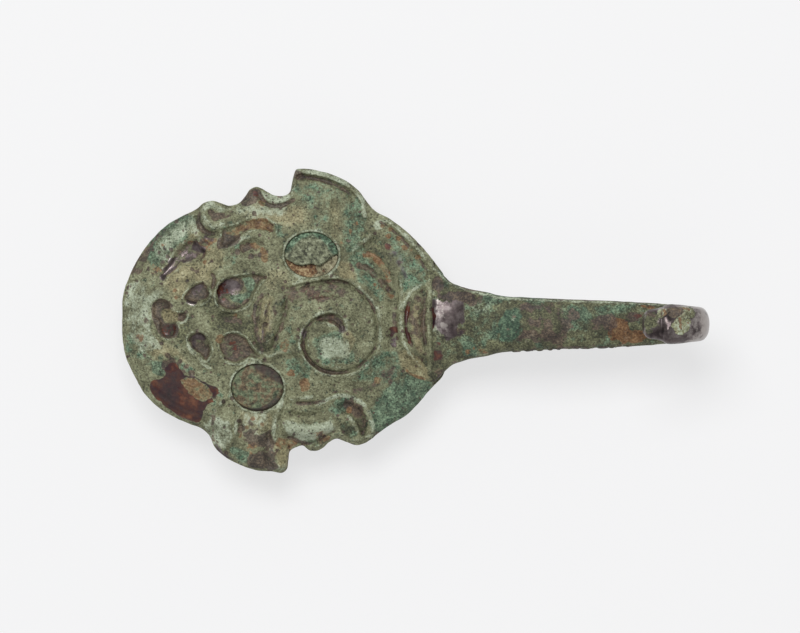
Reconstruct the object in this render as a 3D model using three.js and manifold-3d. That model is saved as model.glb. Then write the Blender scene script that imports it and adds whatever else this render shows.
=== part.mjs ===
// A cast bronze garment hook: a domed relief plate, a collar and shaft that end in a hook with an animal's
// head, a button on the back for the belt, and two round cells with a bed and an inlay each.
// Millimetres, +Z up. The origin is the middle of the button's bearing face, +X runs to the hook.

import * as THREE from 'three';
import { mergeVertices } from 'three/addons/utils/BufferGeometryUtils.js';
import Module from 'manifold-3d';

const wasm = await Module();
wasm.setup();

// Driving dimensions of the button
const buttonRadius = 8.5;
const buttonThickness = 2.0;
const buttonRimRound = 0.6;
const stemRadius = 2.8;
const stemLength = 6.0;
const stemFillet = 0.7;
const tenonRadius = 2.0;
const tenonLength = 1.3;
const tenonClearance = 0.15;

// Driving dimensions of the plate
const plateHalfLength = 20;
const plateHalfWidth = 17.5;
const stemOffsetAlong = 2.9;
const stemOffsetAcross = 0.5;
const plateEdgeThickness = 1.4;
const plateEdgeRound = 0.35;
const plateDomeRise = 2.6;
const plateBackHollow = 2.0;
const domeFullness = 1.2;
const seatBossHeight = 0.5;
const seatBossRadius = 4.2;

// Driving dimensions of the shaft and the hook
const shaftLength = 30.6;
const shaftWidth = 6.6;
const shaftThickness = 2.75;
const shaftArch = 3.1;
const hookBendRadius = 4.2;
const hookTurnDegrees = 195;
const headLength = 2.4;

// Driving dimensions of the relief
const coilRise = 1.2;
const collarRise = 1.4;
const faceRise = 0.8;
const lobeRise = 0.8;
const boldRidgeWidth = 1.9;
const boldRidgeHeight = 0.85;
const bandRidgeWidth = 1.15;
const bandRidgeHeight = 0.6;
const fineRidgeWidth = 0.7;
const fineRidgeHeight = 0.4;
const collarLipHeight = 1.0;
const reliefFoot = 0.4;
const cellDepth = 0.6;
const hollowDepth = 0.45;
const cutOverrun = 1.5;

// Driving dimensions of the two inlaid cells
const cellHalfLength = 3.75;
const cellHalfWidth = 3.4;
const cellWall = 0.5;
const cellWallRise = 0.3;
const bedThickness = 0.35;
const inlayThickness = 0.4;
const inlayDome = 0.2;
const inlayClearance = 0.12;

// Heights that follow from the stack of button, stem and plate
const stemTop = buttonThickness + stemLength;
const backApex = stemTop + seatBossHeight;
const edgeUnderside = backApex - plateBackHollow;
const edgeTop = edgeUnderside + plateEdgeThickness;
const plateMiddleX = -stemOffsetAlong;
const plateMiddleY = stemOffsetAcross;

// A place on the plate from its shares of the plate's half length and half width
function onPlate([alongShare, acrossShare]) {
  return new THREE.Vector3(
    plateMiddleX + alongShare * plateHalfLength,
    plateMiddleY + acrossShare * plateHalfWidth,
    0,
  );
}

// The plate's dome, 1 at its middle and 0 at its edge
function domeShare(x, y) {
  const along = (x - plateMiddleX) / plateHalfLength;
  const across = (y - plateMiddleY) / plateHalfWidth;
  return Math.max(0, 1 - along * along - across * across) ** domeFullness;
}

// Soft swellings of the face: the coiled haunch, the collar, the muzzle and the lobes
const swells = [
  { atShare: [0.4, -0.05], reachShare: [0.36, 0.47], rise: coilRise },
  { atShare: [0.93, -0.04], reachShare: [0.27, 0.5], rise: collarRise },
  { atShare: [-0.68, 0.02], reachShare: [0.3, 0.38], rise: faceRise },
  { atShare: [0.32, 0.86], reachShare: [0.3, 0.36], rise: lobeRise },
  { atShare: [-0.1, -0.84], reachShare: [0.3, 0.34], rise: lobeRise },
  { atShare: [0.42, -0.7], reachShare: [0.32, 0.26], rise: lobeRise },
  { atShare: [-0.3, 0.6], reachShare: [0.3, 0.3], rise: lobeRise },
];

function swellHeight(x, y) {
  let height = 0;
  for (const { atShare, reachShare, rise } of swells) {
    const middle = onPlate(atShare);
    const along = (x - middle.x) / (reachShare[0] * plateHalfLength);
    const across = (y - middle.y) / (reachShare[1] * plateHalfWidth);
    height += rise * Math.max(0, 1 - along * along - across * across) ** 2;
  }
  return height;
}

function faceHeight(x, y) {
  return edgeTop + plateDomeRise * domeShare(x, y) + swellHeight(x, y);
}

function backHeight(x, y) {
  return edgeUnderside + plateBackHollow * domeShare(x, y);
}

// Closed meshes from loops of points: each loop joins the next, and the first and last are capped
function loftOf(loops, closedPath = false) {
  const count = loops[0].length;
  const positions = [];
  const faces = [];
  for (const loop of loops) {
    for (const point of loop) positions.push(point.x, point.y, point.z);
  }
  const spans = closedPath ? loops.length : loops.length - 1;
  for (let i = 0; i < spans; i += 1) {
    const here = i * count;
    const next = ((i + 1) % loops.length) * count;
    for (let k = 0; k < count; k += 1) {
      const after = (k + 1) % count;
      faces.push(here + k, here + after, next + k);
      faces.push(here + after, next + after, next + k);
    }
  }
  if (!closedPath) {
    addCap(positions, faces, loops[0], 0, false);
    addCap(positions, faces, loops[loops.length - 1], (loops.length - 1) * count, true);
  }
  const geometry = new THREE.BufferGeometry();
  geometry.setAttribute('position', new THREE.Float32BufferAttribute(positions, 3));
  geometry.setIndex(faces);
  return geometry;
}

// A fan over one loop, from the loop's middle
function addCap(positions, faces, loop, start, isLast) {
  const middle = new THREE.Vector3();
  for (const point of loop) middle.add(point);
  middle.divideScalar(loop.length);
  const centre = positions.length / 3;
  positions.push(middle.x, middle.y, middle.z);
  for (let k = 0; k < loop.length; k += 1) {
    const after = (k + 1) % loop.length;
    if (isLast) faces.push(start + k, start + after, centre);
    else faces.push(start + after, start + k, centre);
  }
}

function solidOf(geometry) {
  const bare = geometry.clone();
  bare.deleteAttribute('normal');
  bare.deleteAttribute('uv');
  const merged = mergeVertices(bare);
  const mesh = new wasm.Mesh({
    numProp: 3,
    vertProperties: new Float32Array(merged.attributes.position.array),
    triVerts: new Uint32Array(merged.index.array),
  });
  const solid = new wasm.Manifold(mesh);
  if (solid.volume() > 0) return solid;
  const flipped = new Uint32Array(merged.index.array).reverse();
  return new wasm.Manifold(new wasm.Mesh({
    numProp: 3,
    vertProperties: new Float32Array(merged.attributes.position.array),
    triVerts: flipped,
  }));
}

function geometryOf(solid) {
  const mesh = solid.getMesh();
  const geometry = new THREE.BufferGeometry();
  geometry.setAttribute('position', new THREE.Float32BufferAttribute(mesh.vertProperties, 3));
  geometry.setIndex(Array.from(mesh.triVerts));
  geometry.computeVertexNormals();
  return geometry;
}

// The plate's outline, clockwise from the neck's upper side
const plateOutlineShares = [
  [1.1, 0.24], [1.08, 0.335], [1.025, 0.425], [0.935, 0.55], [0.83, 0.667], [0.72, 0.76],
  [0.632, 0.815], [0.587, 0.87], [0.537, 0.95], [0.473, 1.015], [0.375, 1.073], [0.263, 1.112],
  [0.161, 1.126], [0.121, 1.12], [0.102, 1.065], [0.09, 1.0], [0.08, 0.955], [0.05, 0.928],
  [-0.01, 0.925], [-0.061, 0.95], [-0.101, 0.978], [-0.14, 0.993], [-0.18, 0.972],
  [-0.213, 0.92], [-0.253, 0.87], [-0.314, 0.851], [-0.363, 0.868], [-0.424, 0.888],
  [-0.48, 0.872], [-0.532, 0.824], [-0.61, 0.78], [-0.708, 0.718], [-0.802, 0.622],
  [-0.891, 0.49], [-0.96, 0.34], [-1.005, 0.193], [-1.012, 0.01], [-1.01, -0.141],
  [-0.981, -0.296], [-0.926, -0.427], [-0.866, -0.547], [-0.768, -0.655], [-0.665, -0.726],
  [-0.562, -0.776], [-0.491, -0.808], [-0.445, -0.858], [-0.416, -0.933], [-0.353, -1.008],
  [-0.25, -1.072], [-0.141, -1.116], [-0.04, -1.124], [0.03, -1.133], [0.06, -1.106],
  [0.07, -1.041], [0.08, -0.975], [0.122, -0.943], [0.162, -0.932], [0.204, -0.966],
  [0.253, -0.972], [0.294, -0.951], [0.333, -0.908], [0.384, -0.881], [0.449, -0.907],
  [0.515, -0.929], [0.583, -0.905], [0.647, -0.849], [0.735, -0.776], [0.837, -0.706],
  [0.913, -0.622], [0.994, -0.512], [1.07, -0.42], [1.1, -0.33], [1.11, -0.15], [1.12, 0.0],
  [1.11, 0.13],
];
const plateSpokes = 84;
const faceRingShares = [0.95, 0.84, 0.72, 0.59, 0.45, 0.3, 0.15];
const backRingShares = [0.25, 0.55, 0.8];

// The domed plate: rings of its outline drawn in towards the middle, over the face and under the back
function plateSolid() {
  const curve = new THREE.CatmullRomCurve3(plateOutlineShares.map(onPlate), true, 'centripetal');
  const outline = curve.getPoints(plateSpokes).slice(0, plateSpokes);
  const middle = onPlate([0, 0]);
  const ring = (share, heightAt, drop) => outline.map((point) => {
    const x = middle.x + share * (point.x - middle.x);
    const y = middle.y + share * (point.y - middle.y);
    return new THREE.Vector3(x, y, heightAt(x, y) + drop);
  });
  const loops = [];
  for (const share of backRingShares) loops.push(ring(share, backHeight, 0));
  const edgeInset = 1 - plateEdgeRound / plateHalfLength;
  loops.push(ring(edgeInset, backHeight, 0));
  loops.push(ring(1, backHeight, plateEdgeRound));
  loops.push(ring(1, faceHeight, -plateEdgeRound));
  for (const share of faceRingShares) loops.push(ring(share, faceHeight, 0));
  return solidOf(loftOf(loops));
}

// Sections of a ridge: across in widths, up in heights. The first and last points are its sunk feet.
const roundSectionShares = [[-0.56, 0], [-0.32, 0.68], [0, 1], [0.32, 0.68], [0.56, 0]];
const narrowSectionShares = [[-0.6, 0], [-0.2, 1], [0.2, 1], [0.6, 0]];
const leaningSectionShares = [[-0.5, 0], [-0.4, 0.7], [-0.24, 1], [0.02, 0.86], [0.3, 0.34], [0.56, 0]];

// A ridge along a plan curve that rides on the face, with its foot sunk into the plate. It tapers over a
// fifth of its length at each end, to the least share of its size.
const taperSteps = 5;
const taperLeastShare = 0.3;

function ridge(pathShares, { width, height, section = roundSectionShares, steps, closed = false }) {
  const curve = new THREE.CatmullRomCurve3(pathShares.map(onPlate), closed, 'centripetal');
  const count = closed ? steps : steps + 1;
  const loops = [];
  for (let i = 0; i < count; i += 1) {
    const share = i / steps;
    const point = curve.getPoint(share);
    const tangent = curve.getTangent(share);
    const endShare = Math.min(1, Math.min(share, 1 - share) * taperSteps);
    const swell = closed ? 1 : taperLeastShare + (1 - taperLeastShare) * Math.sqrt(endShare);
    loops.push(section.map(([acrossShare, upShare]) => {
      const offset = acrossShare * width * swell;
      const x = point.x - tangent.y * offset;
      const y = point.y + tangent.x * offset;
      const rise = upShare > 0 ? upShare * height * swell : -reliefFoot;
      return new THREE.Vector3(x, y, faceHeight(x, y) + rise);
    }));
  }
  return solidOf(loftOf(loops, closed));
}

// A hollow in the face: its outline drawn in towards its middle, down to a floor that follows the face
const hollowRingShares = [1, 0.82];

function ringsOf(outlineShares, steps, ringShares, heightAt) {
  const curve = new THREE.CatmullRomCurve3(outlineShares.map(onPlate), true, 'centripetal');
  const outline = curve.getPoints(steps).slice(0, steps);
  const middle = new THREE.Vector3();
  for (const point of outline) middle.add(point);
  middle.divideScalar(outline.length);
  return ringShares.map((share) => outline.map((point) => {
    const x = middle.x + share * (point.x - middle.x);
    const y = middle.y + share * (point.y - middle.y);
    return new THREE.Vector3(x, y, heightAt(x, y, share));
  }));
}

function hollow(outlineShares, depth, steps) {
  const bowl = (x, y, share) => faceHeight(x, y) - (share < 1 ? depth : 0);
  const lid = (x, y) => faceHeight(x, y) + cutOverrun;
  const floor = ringsOf(outlineShares, steps, hollowRingShares, bowl);
  const cover = ringsOf(outlineShares, steps, [1], lid);
  return solidOf(loftOf([...cover, ...floor]));
}

// Plan curves of the relief
const coilShares = [
  [0.03, 0.22], [0.18, 0.25], [0.34, 0.29], [0.45, 0.28], [0.57, 0.19], [0.65, 0.04], [0.66, -0.13],
  [0.58, -0.29], [0.47, -0.37], [0.34, -0.39], [0.23, -0.33], [0.17, -0.21], [0.18, -0.07],
  [0.23, 0.01], [0.33, 0.05], [0.41, 0.03], [0.44, -0.04], [0.42, -0.1],
];
const coilFootShares = [[0.16, -0.22], [0.08, -0.2], [0, -0.23], [-0.07, -0.26]];
const forelegShares = [[0.04, 0.21], [-0.01, 0.11], [-0.05, -0.01], [-0.07, -0.13], [-0.08, -0.24]];
const cheekShares = [[-0.04, 0.25], [-0.11, 0.15], [-0.14, 0.04], [-0.13, -0.07], [-0.1, -0.18]];
const muzzleShares = [
  [-0.73, 0.24], [-0.81, 0.17], [-0.85, 0.06], [-0.83, -0.06], [-0.76, -0.16], [-0.65, -0.19],
];
const upperCommaShares = [
  [-0.08, 0.33], [-0.15, 0.34], [-0.23, 0.33], [-0.3, 0.31], [-0.36, 0.27], [-0.39, 0.21],
  [-0.38, 0.14], [-0.34, 0.1], [-0.29, 0.08], [-0.22, 0.1], [-0.17, 0.15], [-0.14, 0.21], [-0.12, 0.27],
];
const lowerCommaShares = [
  [-0.05, -0.27], [-0.1, -0.22], [-0.14, -0.16], [-0.19, -0.1], [-0.26, -0.08], [-0.34, -0.1],
  [-0.38, -0.16], [-0.38, -0.22], [-0.36, -0.28], [-0.31, -0.32], [-0.24, -0.31], [-0.19, -0.29],
  [-0.13, -0.29],
];
const upperDropShares = [
  [-0.61, 0.15], [-0.58, 0.22], [-0.52, 0.28], [-0.46, 0.29], [-0.44, 0.23], [-0.44, 0.16],
  [-0.49, 0.12], [-0.55, 0.12],
];
const lowerDropShares = [
  [-0.58, -0.12], [-0.53, -0.09], [-0.47, -0.12], [-0.44, -0.18], [-0.42, -0.26], [-0.43, -0.32],
  [-0.48, -0.31], [-0.54, -0.22],
];
const noseShares = [
  [-0.81, 0.06], [-0.79, 0.15], [-0.73, 0.16], [-0.68, 0.11], [-0.64, 0.06], [-0.59, 0.02],
  [-0.64, -0.01], [-0.67, -0.07], [-0.7, -0.13], [-0.73, -0.13], [-0.77, -0.07], [-0.8, -0.01],
];
const scrollShares = [[-0.48, 0.81], [-0.48, 0.74], [-0.45, 0.69], [-0.4, 0.66], [-0.35, 0.68]];
const earLipShares = [
  [0.12, 1.0], [0.14, 1.08], [0.2, 1.09], [0.28, 1.07], [0.37, 1.03], [0.45, 0.97], [0.51, 0.9], [0.55, 0.82],
];
const earRidgeShares = [[0.54, 0.86], [0.57, 0.8], [0.57, 0.73], [0.55, 0.65]];
const shoulderShares = [[0.48, 0.47], [0.57, 0.48], [0.64, 0.42], [0.7, 0.33], [0.74, 0.22]];
const tailOuterShares = [[-0.32, -0.57], [-0.39, -0.65], [-0.41, -0.74], [-0.42, -0.84]];
const tailInnerShares = [[-0.23, -0.68], [-0.25, -0.78], [-0.27, -0.9], [-0.27, -1.0]];
const tailRightShares = [
  [0.04, -0.59], [0.01, -0.68], [-0.02, -0.79], [-0.03, -0.9], [0.0, -0.98], [0.02, -1.07],
];
const leafTopShares = [[0.06, -0.61], [0.16, -0.62], [0.26, -0.61], [0.34, -0.57]];
const leafBandShares = [[0.01, -0.79], [0.1, -0.81], [0.21, -0.82], [0.31, -0.79], [0.4, -0.74]];
const swirlShares = [
  [0.34, -0.58], [0.44, -0.56], [0.52, -0.58], [0.58, -0.65], [0.61, -0.74], [0.6, -0.82], [0.55, -0.87],
];
const swirlInnerShares = [[0.47, -0.68], [0.5, -0.75], [0.5, -0.83]];
const collarArcShares = [
  [0.98, 0.28], [0.89, 0.22], [0.83, 0.14], [0.8, 0.04], [0.8, -0.07], [0.82, -0.18], [0.87, -0.29],
  [0.97, -0.38],
];
const collarRibShares = [[0.92, 0.17], [0.91, 0.05], [0.91, -0.07], [0.93, -0.19], [0.95, -0.27]];
const collarLipShares = [[0.99, 0.28], [0.995, 0.12], [1.0, -0.04], [1.0, -0.2], [0.99, -0.36]];

// Hollows: the cheek's slanted cell, the brow's long cell, the coil's eye, the scoop and the dished ear
const cheekCellShares = [
  [-0.75, 0.35], [-0.69, 0.44], [-0.61, 0.52], [-0.53, 0.56], [-0.46, 0.52], [-0.53, 0.45],
  [-0.61, 0.41], [-0.7, 0.35],
];
const browCellShares = [
  [-0.36, 0.56], [-0.34, 0.66], [-0.25, 0.71], [-0.13, 0.75], [-0.04, 0.73], [-0.01, 0.68],
  [-0.07, 0.66], [-0.17, 0.66], [-0.24, 0.61], [-0.31, 0.55],
];
const coilEyeShares = [[0.24, -0.05], [0.29, 0.0], [0.37, 0.0], [0.42, -0.03], [0.38, -0.07], [0.3, -0.07]];
const swirlScoopShares = [
  [0.47, -0.61], [0.53, -0.62], [0.57, -0.68], [0.58, -0.75], [0.56, -0.82], [0.52, -0.84],
  [0.53, -0.77], [0.5, -0.69],
];
const earDishShares = [
  [0.14, 0.86], [0.14, 0.98], [0.2, 1.03], [0.29, 1.0], [0.38, 0.95], [0.46, 0.87], [0.47, 0.77],
  [0.38, 0.75], [0.24, 0.78],
];

function reliefSolids() {
  const bold = { width: boldRidgeWidth, height: boldRidgeHeight };
  const band = { width: bandRidgeWidth, height: bandRidgeHeight };
  const fine = { width: fineRidgeWidth, height: fineRidgeHeight, section: narrowSectionShares };
  return [
    ridge(coilShares, { ...bold, section: leaningSectionShares, steps: 40 }),
    ridge(coilFootShares, { ...band, steps: 6 }),
    ridge(forelegShares, { ...band, steps: 8 }),
    ridge(cheekShares, { ...band, steps: 8 }),
    ridge(muzzleShares, { ...fine, steps: 10 }),
    ridge(upperCommaShares, { ...fine, steps: 16, closed: true }),
    ridge(lowerCommaShares, { ...fine, steps: 16, closed: true }),
    ridge(upperDropShares, { ...fine, steps: 10, closed: true }),
    ridge(lowerDropShares, { ...fine, steps: 10, closed: true }),
    ridge(scrollShares, { ...band, steps: 9 }),
    ridge(earLipShares, { ...fine, steps: 14 }),
    ridge(earRidgeShares, { ...fine, steps: 6 }),
    ridge(shoulderShares, { ...band, steps: 9 }),
    ridge(tailOuterShares, { ...fine, steps: 6 }),
    ridge(tailInnerShares, { ...fine, steps: 6 }),
    ridge(tailRightShares, { ...band, steps: 9 }),
    ridge(leafTopShares, { ...fine, steps: 6 }),
    ridge(leafBandShares, { ...bold, steps: 9 }),
    ridge(swirlShares, { ...band, section: leaningSectionShares, steps: 14 }),
    ridge(swirlInnerShares, { ...fine, steps: 5 }),
    ridge(collarArcShares, { ...fine, steps: 16 }),
    ridge(collarRibShares, { ...fine, steps: 9 }),
    ridge(collarLipShares, { ...band, height: collarLipHeight, steps: 10 }),
  ];
}

function hollowSolids() {
  return [
    hollow(upperCommaShares, cellDepth, 16),
    hollow(lowerCommaShares, cellDepth, 16),
    hollow(upperDropShares, cellDepth, 10),
    hollow(lowerDropShares, cellDepth, 10),
    hollow(noseShares, cellDepth, 16),
    hollow(cheekCellShares, hollowDepth, 12),
    hollow(browCellShares, hollowDepth, 14),
    hollow(coilEyeShares, hollowDepth, 10),
    hollow(swirlScoopShares, hollowDepth, 12),
    hollow(earDishShares, hollowDepth, 14),
  ];
}

// The shaft from the collar's lip to the bend: along in shaft lengths, half width in half shaft widths,
// underside in arches above the plate's edge, and thickness in shaft thicknesses
const shaftStationShares = [
  [-0.025, 2.1, 0.02, 0.8],
  [0.013, 2.3, 0, 0.95],
  [0.064, 1.82, 0.02, 0.88],
  [0.089, 1.62, 0.09, 0.88],
  [0.123, 1.5, 0.2, 0.93],
  [0.166, 1.38, 0.35, 1.0],
  [0.229, 1.28, 0.56, 1.05],
  [0.293, 1.13, 0.71, 1.07],
  [0.399, 1.06, 0.9, 1.04],
  [0.506, 1.015, 1.0, 1.0],
  [0.612, 0.97, 1.0, 0.98],
  [0.718, 0.94, 0.92, 0.96],
  [0.824, 0.894, 0.74, 0.945],
  [0.93, 0.842, 0.56, 0.93],
  [1.0, 0.79, 0.51, 0.91],
];
const shaftStart = plateMiddleX + plateHalfLength;
const bendX = shaftStart + shaftLength;
const [, , shaftEndArchShare, shaftEndThicknessShare] = shaftStationShares.at(-1);
const shaftEndMiddle = edgeUnderside + shaftEndArchShare * shaftArch
  + shaftEndThicknessShare * shaftThickness / 2;
const bendZ = shaftEndMiddle + hookBendRadius;

// The hook past the bend's start: along in hook lengths, half width and thickness as on the shaft
const hookStationShares = [
  [0.06, 0.77, 0.89], [0.13, 0.75, 0.87], [0.2, 0.73, 0.85], [0.27, 0.71, 0.84], [0.34, 0.69, 0.84],
  [0.41, 0.68, 0.84], [0.48, 0.69, 0.86], [0.55, 0.7, 0.9], [0.62, 0.73, 0.96], [0.69, 0.77, 1.04],
  [0.75, 0.79, 1.1], [0.79, 0.79, 1.06], [0.82, 0.72, 0.9], [0.85, 0.71, 0.88], [0.9, 0.7, 0.86],
  [0.94, 0.66, 0.8], [0.975, 0.58, 0.66], [1.0, 0.38, 0.36],
];
const hookTurn = THREE.MathUtils.degToRad(hookTurnDegrees);
const bendLength = hookTurn * hookBendRadius;
const hookLength = bendLength + headLength;

// Half of the section, right side, from the flat underside to the rounded top: across and up, each -1 to 1
const shaftSectionShares = [
  [0, -1], [0.5, -1], [0.93, -0.97], [1, -0.72], [0.95, -0.1], [0.84, 0.34], [0.62, 0.72],
  [0.32, 0.93], [0, 1],
];
// The same on the head, whose rounded side faces away from the shaft
const headSectionShares = [
  [0, -1], [0.36, -0.94], [0.68, -0.72], [0.9, -0.3], [1, 0.14], [0.97, 0.56], [0.78, 0.86],
  [0.4, 1], [0, 1],
];

function sectionLoop(centre, up, halfWidth, halfThickness, headShare) {
  const half = shaftSectionShares.map(([across, rise], i) => [
    THREE.MathUtils.lerp(across, headSectionShares[i][0], headShare),
    THREE.MathUtils.lerp(rise, headSectionShares[i][1], headShare),
  ]);
  const other = half.slice(1, -1).reverse().map(([across, rise]) => [-across, rise]);
  return [...half, ...other].map(([across, rise]) => new THREE.Vector3(
    centre.x + up.x * rise * halfThickness,
    across * halfWidth,
    centre.z + up.z * rise * halfThickness,
  ));
}

// The middle of the hook at a length past the bend's start, and the direction towards the throat
function hookPlace(length) {
  const angle = Math.min(length, bendLength) / hookBendRadius;
  const rest = Math.max(0, length - bendLength);
  const up = new THREE.Vector3(-Math.sin(angle), 0, Math.cos(angle));
  const forward = new THREE.Vector3(Math.cos(angle), 0, Math.sin(angle));
  const centre = new THREE.Vector3(bendX, 0, bendZ)
    .addScaledVector(up, -hookBendRadius)
    .addScaledVector(forward, rest);
  return { centre, up, forward };
}

function shaftSolid() {
  const loops = [];
  for (const [alongShare, widthShare, archShare, thicknessShare] of shaftStationShares) {
    const halfThickness = thicknessShare * shaftThickness / 2;
    const middle = edgeUnderside + archShare * shaftArch + halfThickness;
    const centre = new THREE.Vector3(shaftStart + alongShare * shaftLength, 0, middle);
    const up = new THREE.Vector3(0, 0, 1);
    loops.push(sectionLoop(centre, up, widthShare * shaftWidth / 2, halfThickness, 0));
  }
  for (const [alongShare, widthShare, thicknessShare] of hookStationShares) {
    const { centre, up } = hookPlace(alongShare * hookLength);
    const headShare = THREE.MathUtils.smoothstep(alongShare, 0, bendLength / hookLength / 2);
    const halfThickness = thicknessShare * shaftThickness / 2;
    loops.push(sectionLoop(centre, up, widthShare * shaftWidth / 2, halfThickness, headShare));
  }
  return solidOf(loftOf(loops));
}

// The head's half width and half thickness at the brow, where they are greatest
const browWidthShare = Math.max(...hookStationShares.map(([, widthShare]) => widthShare));
const browThicknessShare = Math.max(...hookStationShares.map(([, , thicknessShare]) => thicknessShare));
const headHalfWidth = browWidthShare * shaftWidth / 2;
const headHalfThickness = browThicknessShare * shaftThickness / 2;

// A rounded lump on the head: place in hook lengths along, half head widths across and half thicknesses out
function headLump({ alongShare, acrossShare, outShare, sizeShares, turnDegrees = 0 }) {
  const { centre, up, forward } = hookPlace(alongShare * hookLength);
  const lump = new THREE.SphereGeometry(1, 8, 6);
  lump.scale(sizeShares[0] * headHalfWidth, sizeShares[1] * headHalfWidth, sizeShares[2] * headHalfWidth);
  lump.rotateZ(THREE.MathUtils.degToRad(turnDegrees));
  const frame = new THREE.Matrix4().makeBasis(
    forward,
    new THREE.Vector3(0, 1, 0),
    new THREE.Vector3().crossVectors(forward, new THREE.Vector3(0, 1, 0)),
  );
  lump.applyMatrix4(frame);
  lump.translate(
    centre.x - up.x * outShare * headHalfThickness,
    acrossShare * headHalfWidth,
    centre.z - up.z * outShare * headHalfThickness,
  );
  return solidOf(lump);
}

const headLumpShares = [
  { alongShare: 0.77, acrossShare: 0, outShare: 0.74, sizeShares: [0.24, 0.72, 0.26] },
  { alongShare: 0.7, acrossShare: 0, outShare: 0.8, sizeShares: [0.62, 0.24, 0.24] },
  { alongShare: 0.7, acrossShare: 0.7, outShare: 0.5, sizeShares: [0.55, 0.24, 0.3], turnDegrees: -14 },
  { alongShare: 0.7, acrossShare: -0.7, outShare: 0.5, sizeShares: [0.55, 0.24, 0.3], turnDegrees: 14 },
  { alongShare: 0.835, acrossShare: 0.72, outShare: 0.32, sizeShares: [0.24, 0.24, 0.24] },
  { alongShare: 0.835, acrossShare: -0.72, outShare: 0.32, sizeShares: [0.24, 0.24, 0.24] },
  { alongShare: 0.965, acrossShare: 0, outShare: 0.38, sizeShares: [0.24, 0.6, 0.24] },
];

// The mouth: a thin slot across the snout, below its middle
const mouthDepth = 2.0;
const mouthHeight = 0.3;
const mouthInShare = 0.32;

function mouthSolid() {
  const { centre, up } = hookPlace(hookLength);
  const slot = new THREE.BoxGeometry(2 * mouthDepth, shaftWidth, mouthHeight);
  slot.rotateY(Math.PI - hookTurn);
  const inward = mouthInShare * headHalfThickness;
  slot.translate(centre.x + up.x * inward, 0, centre.z + up.z * inward);
  return solidOf(slot);
}

// The two inlaid cells: middle on the plate and size against the named cell
const upperCell = { atShare: [0.22, 0.485], lengthShare: 1, widthShare: 0.94 };
const lowerCell = { atShare: [-0.13, -0.5], lengthShare: 0.97, widthShare: 0.97 };
const cellSegments = 30;

// A cell's own frame: its middle on the face and its axis square to the face
function cellFrame({ atShare }) {
  const middle = onPlate(atShare);
  const { x, y } = middle;
  const reach = cellHalfLength;
  const slopeX = (faceHeight(x + reach, y) - faceHeight(x - reach, y)) / (2 * reach);
  const slopeY = (faceHeight(x, y + reach) - faceHeight(x, y - reach)) / (2 * reach);
  const axis = new THREE.Vector3(-slopeX, -slopeY, 1).normalize();
  middle.z = faceHeight(x, y);
  const turn = new THREE.Quaternion().setFromUnitVectors(new THREE.Vector3(0, 0, 1), axis);
  return new THREE.Matrix4().compose(middle, turn, new THREE.Vector3(1, 1, 1));
}

// A turned profile, given as radius less an inset and a height, stretched to the cell's oval
function oval(cell, profile) {
  const points = profile.map(([inset, height]) => new THREE.Vector2(cellHalfLength - inset, height));
  const turned = new THREE.LatheGeometry([new THREE.Vector2(0, points[0].y), ...points,
    new THREE.Vector2(0, points.at(-1).y)], cellSegments);
  turned.rotateX(Math.PI / 2);
  turned.scale(cell.lengthShare, cell.widthShare * cellHalfWidth / cellHalfLength, 1);
  return turned;
}

// Levels in the cell's frame, from the pocket's floor up
const inlayTop = cellWallRise / 2;
const inlayBase = inlayTop - inlayThickness - inlayDome;
const bedTop = inlayBase - inlayClearance;
const bedBase = bedTop - bedThickness;
const pocketFloor = bedBase - inlayClearance;

function cellRim(cell) {
  const rim = oval(cell, [
    [-cellWall, -2 * reliefFoot],
    [0, cellWallRise],
  ]);
  return solidOf(rim.applyMatrix4(cellFrame(cell)));
}

function cellPocket(cell) {
  const pocket = oval(cell, [[cellWall / 2, pocketFloor], [cellWall / 2, cutOverrun]]);
  return solidOf(pocket.applyMatrix4(cellFrame(cell)));
}

const inlayInset = cellWall / 2 + inlayClearance;

function bedGeometry(cell) {
  return oval(cell, [[inlayInset, bedBase], [inlayInset, bedTop]]);
}

// The inlay's crown past its straight edge: inset in cell half lengths, rise in inlay domes
const crownShares = [[0, 0], [0.2, 0.6], [0.5, 1]];

function inlayGeometry(cell) {
  const crown = crownShares.map(([insetShare, riseShare]) => [
    inlayInset + insetShare * cellHalfLength,
    inlayBase + inlayThickness + riseShare * inlayDome,
  ]);
  return oval(cell, [[inlayInset, inlayBase], ...crown]);
}

// The chipped lower edge of the upper inlay: a broken line, in half lengths along and half widths across
const chipLineShares = [
  [-1.2, -0.05], [-0.86, -0.2], [-0.6, -0.36], [-0.3, -0.46], [0.0, -0.38], [0.3, -0.44], [0.55, -0.24],
  [0.8, -0.02], [1.2, 0.06],
];

function chippedInlay(cell) {
  const line = chipLineShares.map(([along, across]) => new THREE.Vector2(
    along * cellHalfLength,
    across * cellHalfWidth,
  ));
  const below = new THREE.Shape([
    new THREE.Vector2(line.at(-1).x, -2 * cellHalfWidth),
    ...line.toReversed(),
    new THREE.Vector2(line[0].x, -2 * cellHalfWidth),
  ]);
  const cutter = new THREE.ExtrudeGeometry(below, { depth: 2 * cutOverrun, bevelEnabled: false });
  cutter.translate(0, 0, -cutOverrun);
  return geometryOf(solidOf(inlayGeometry(cell)).subtract(solidOf(cutter)));
}

// The back's boss with the socket that takes the button's tenon
function seatBoss() {
  const top = backApex + reliefFoot;
  const boss = new THREE.CylinderGeometry(seatBossRadius, seatBossRadius - seatBossHeight, top - stemTop, 28);
  boss.rotateX(Math.PI / 2);
  boss.translate(0, 0, (top + stemTop) / 2);
  return solidOf(boss);
}

function tenonSocket() {
  const depth = tenonLength + tenonClearance;
  const radius = tenonRadius + tenonClearance;
  const socket = new THREE.CylinderGeometry(radius, radius, depth + cutOverrun, 24);
  socket.rotateX(Math.PI / 2);
  socket.translate(0, 0, stemTop + (depth - cutOverrun) / 2);
  return solidOf(socket);
}

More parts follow.
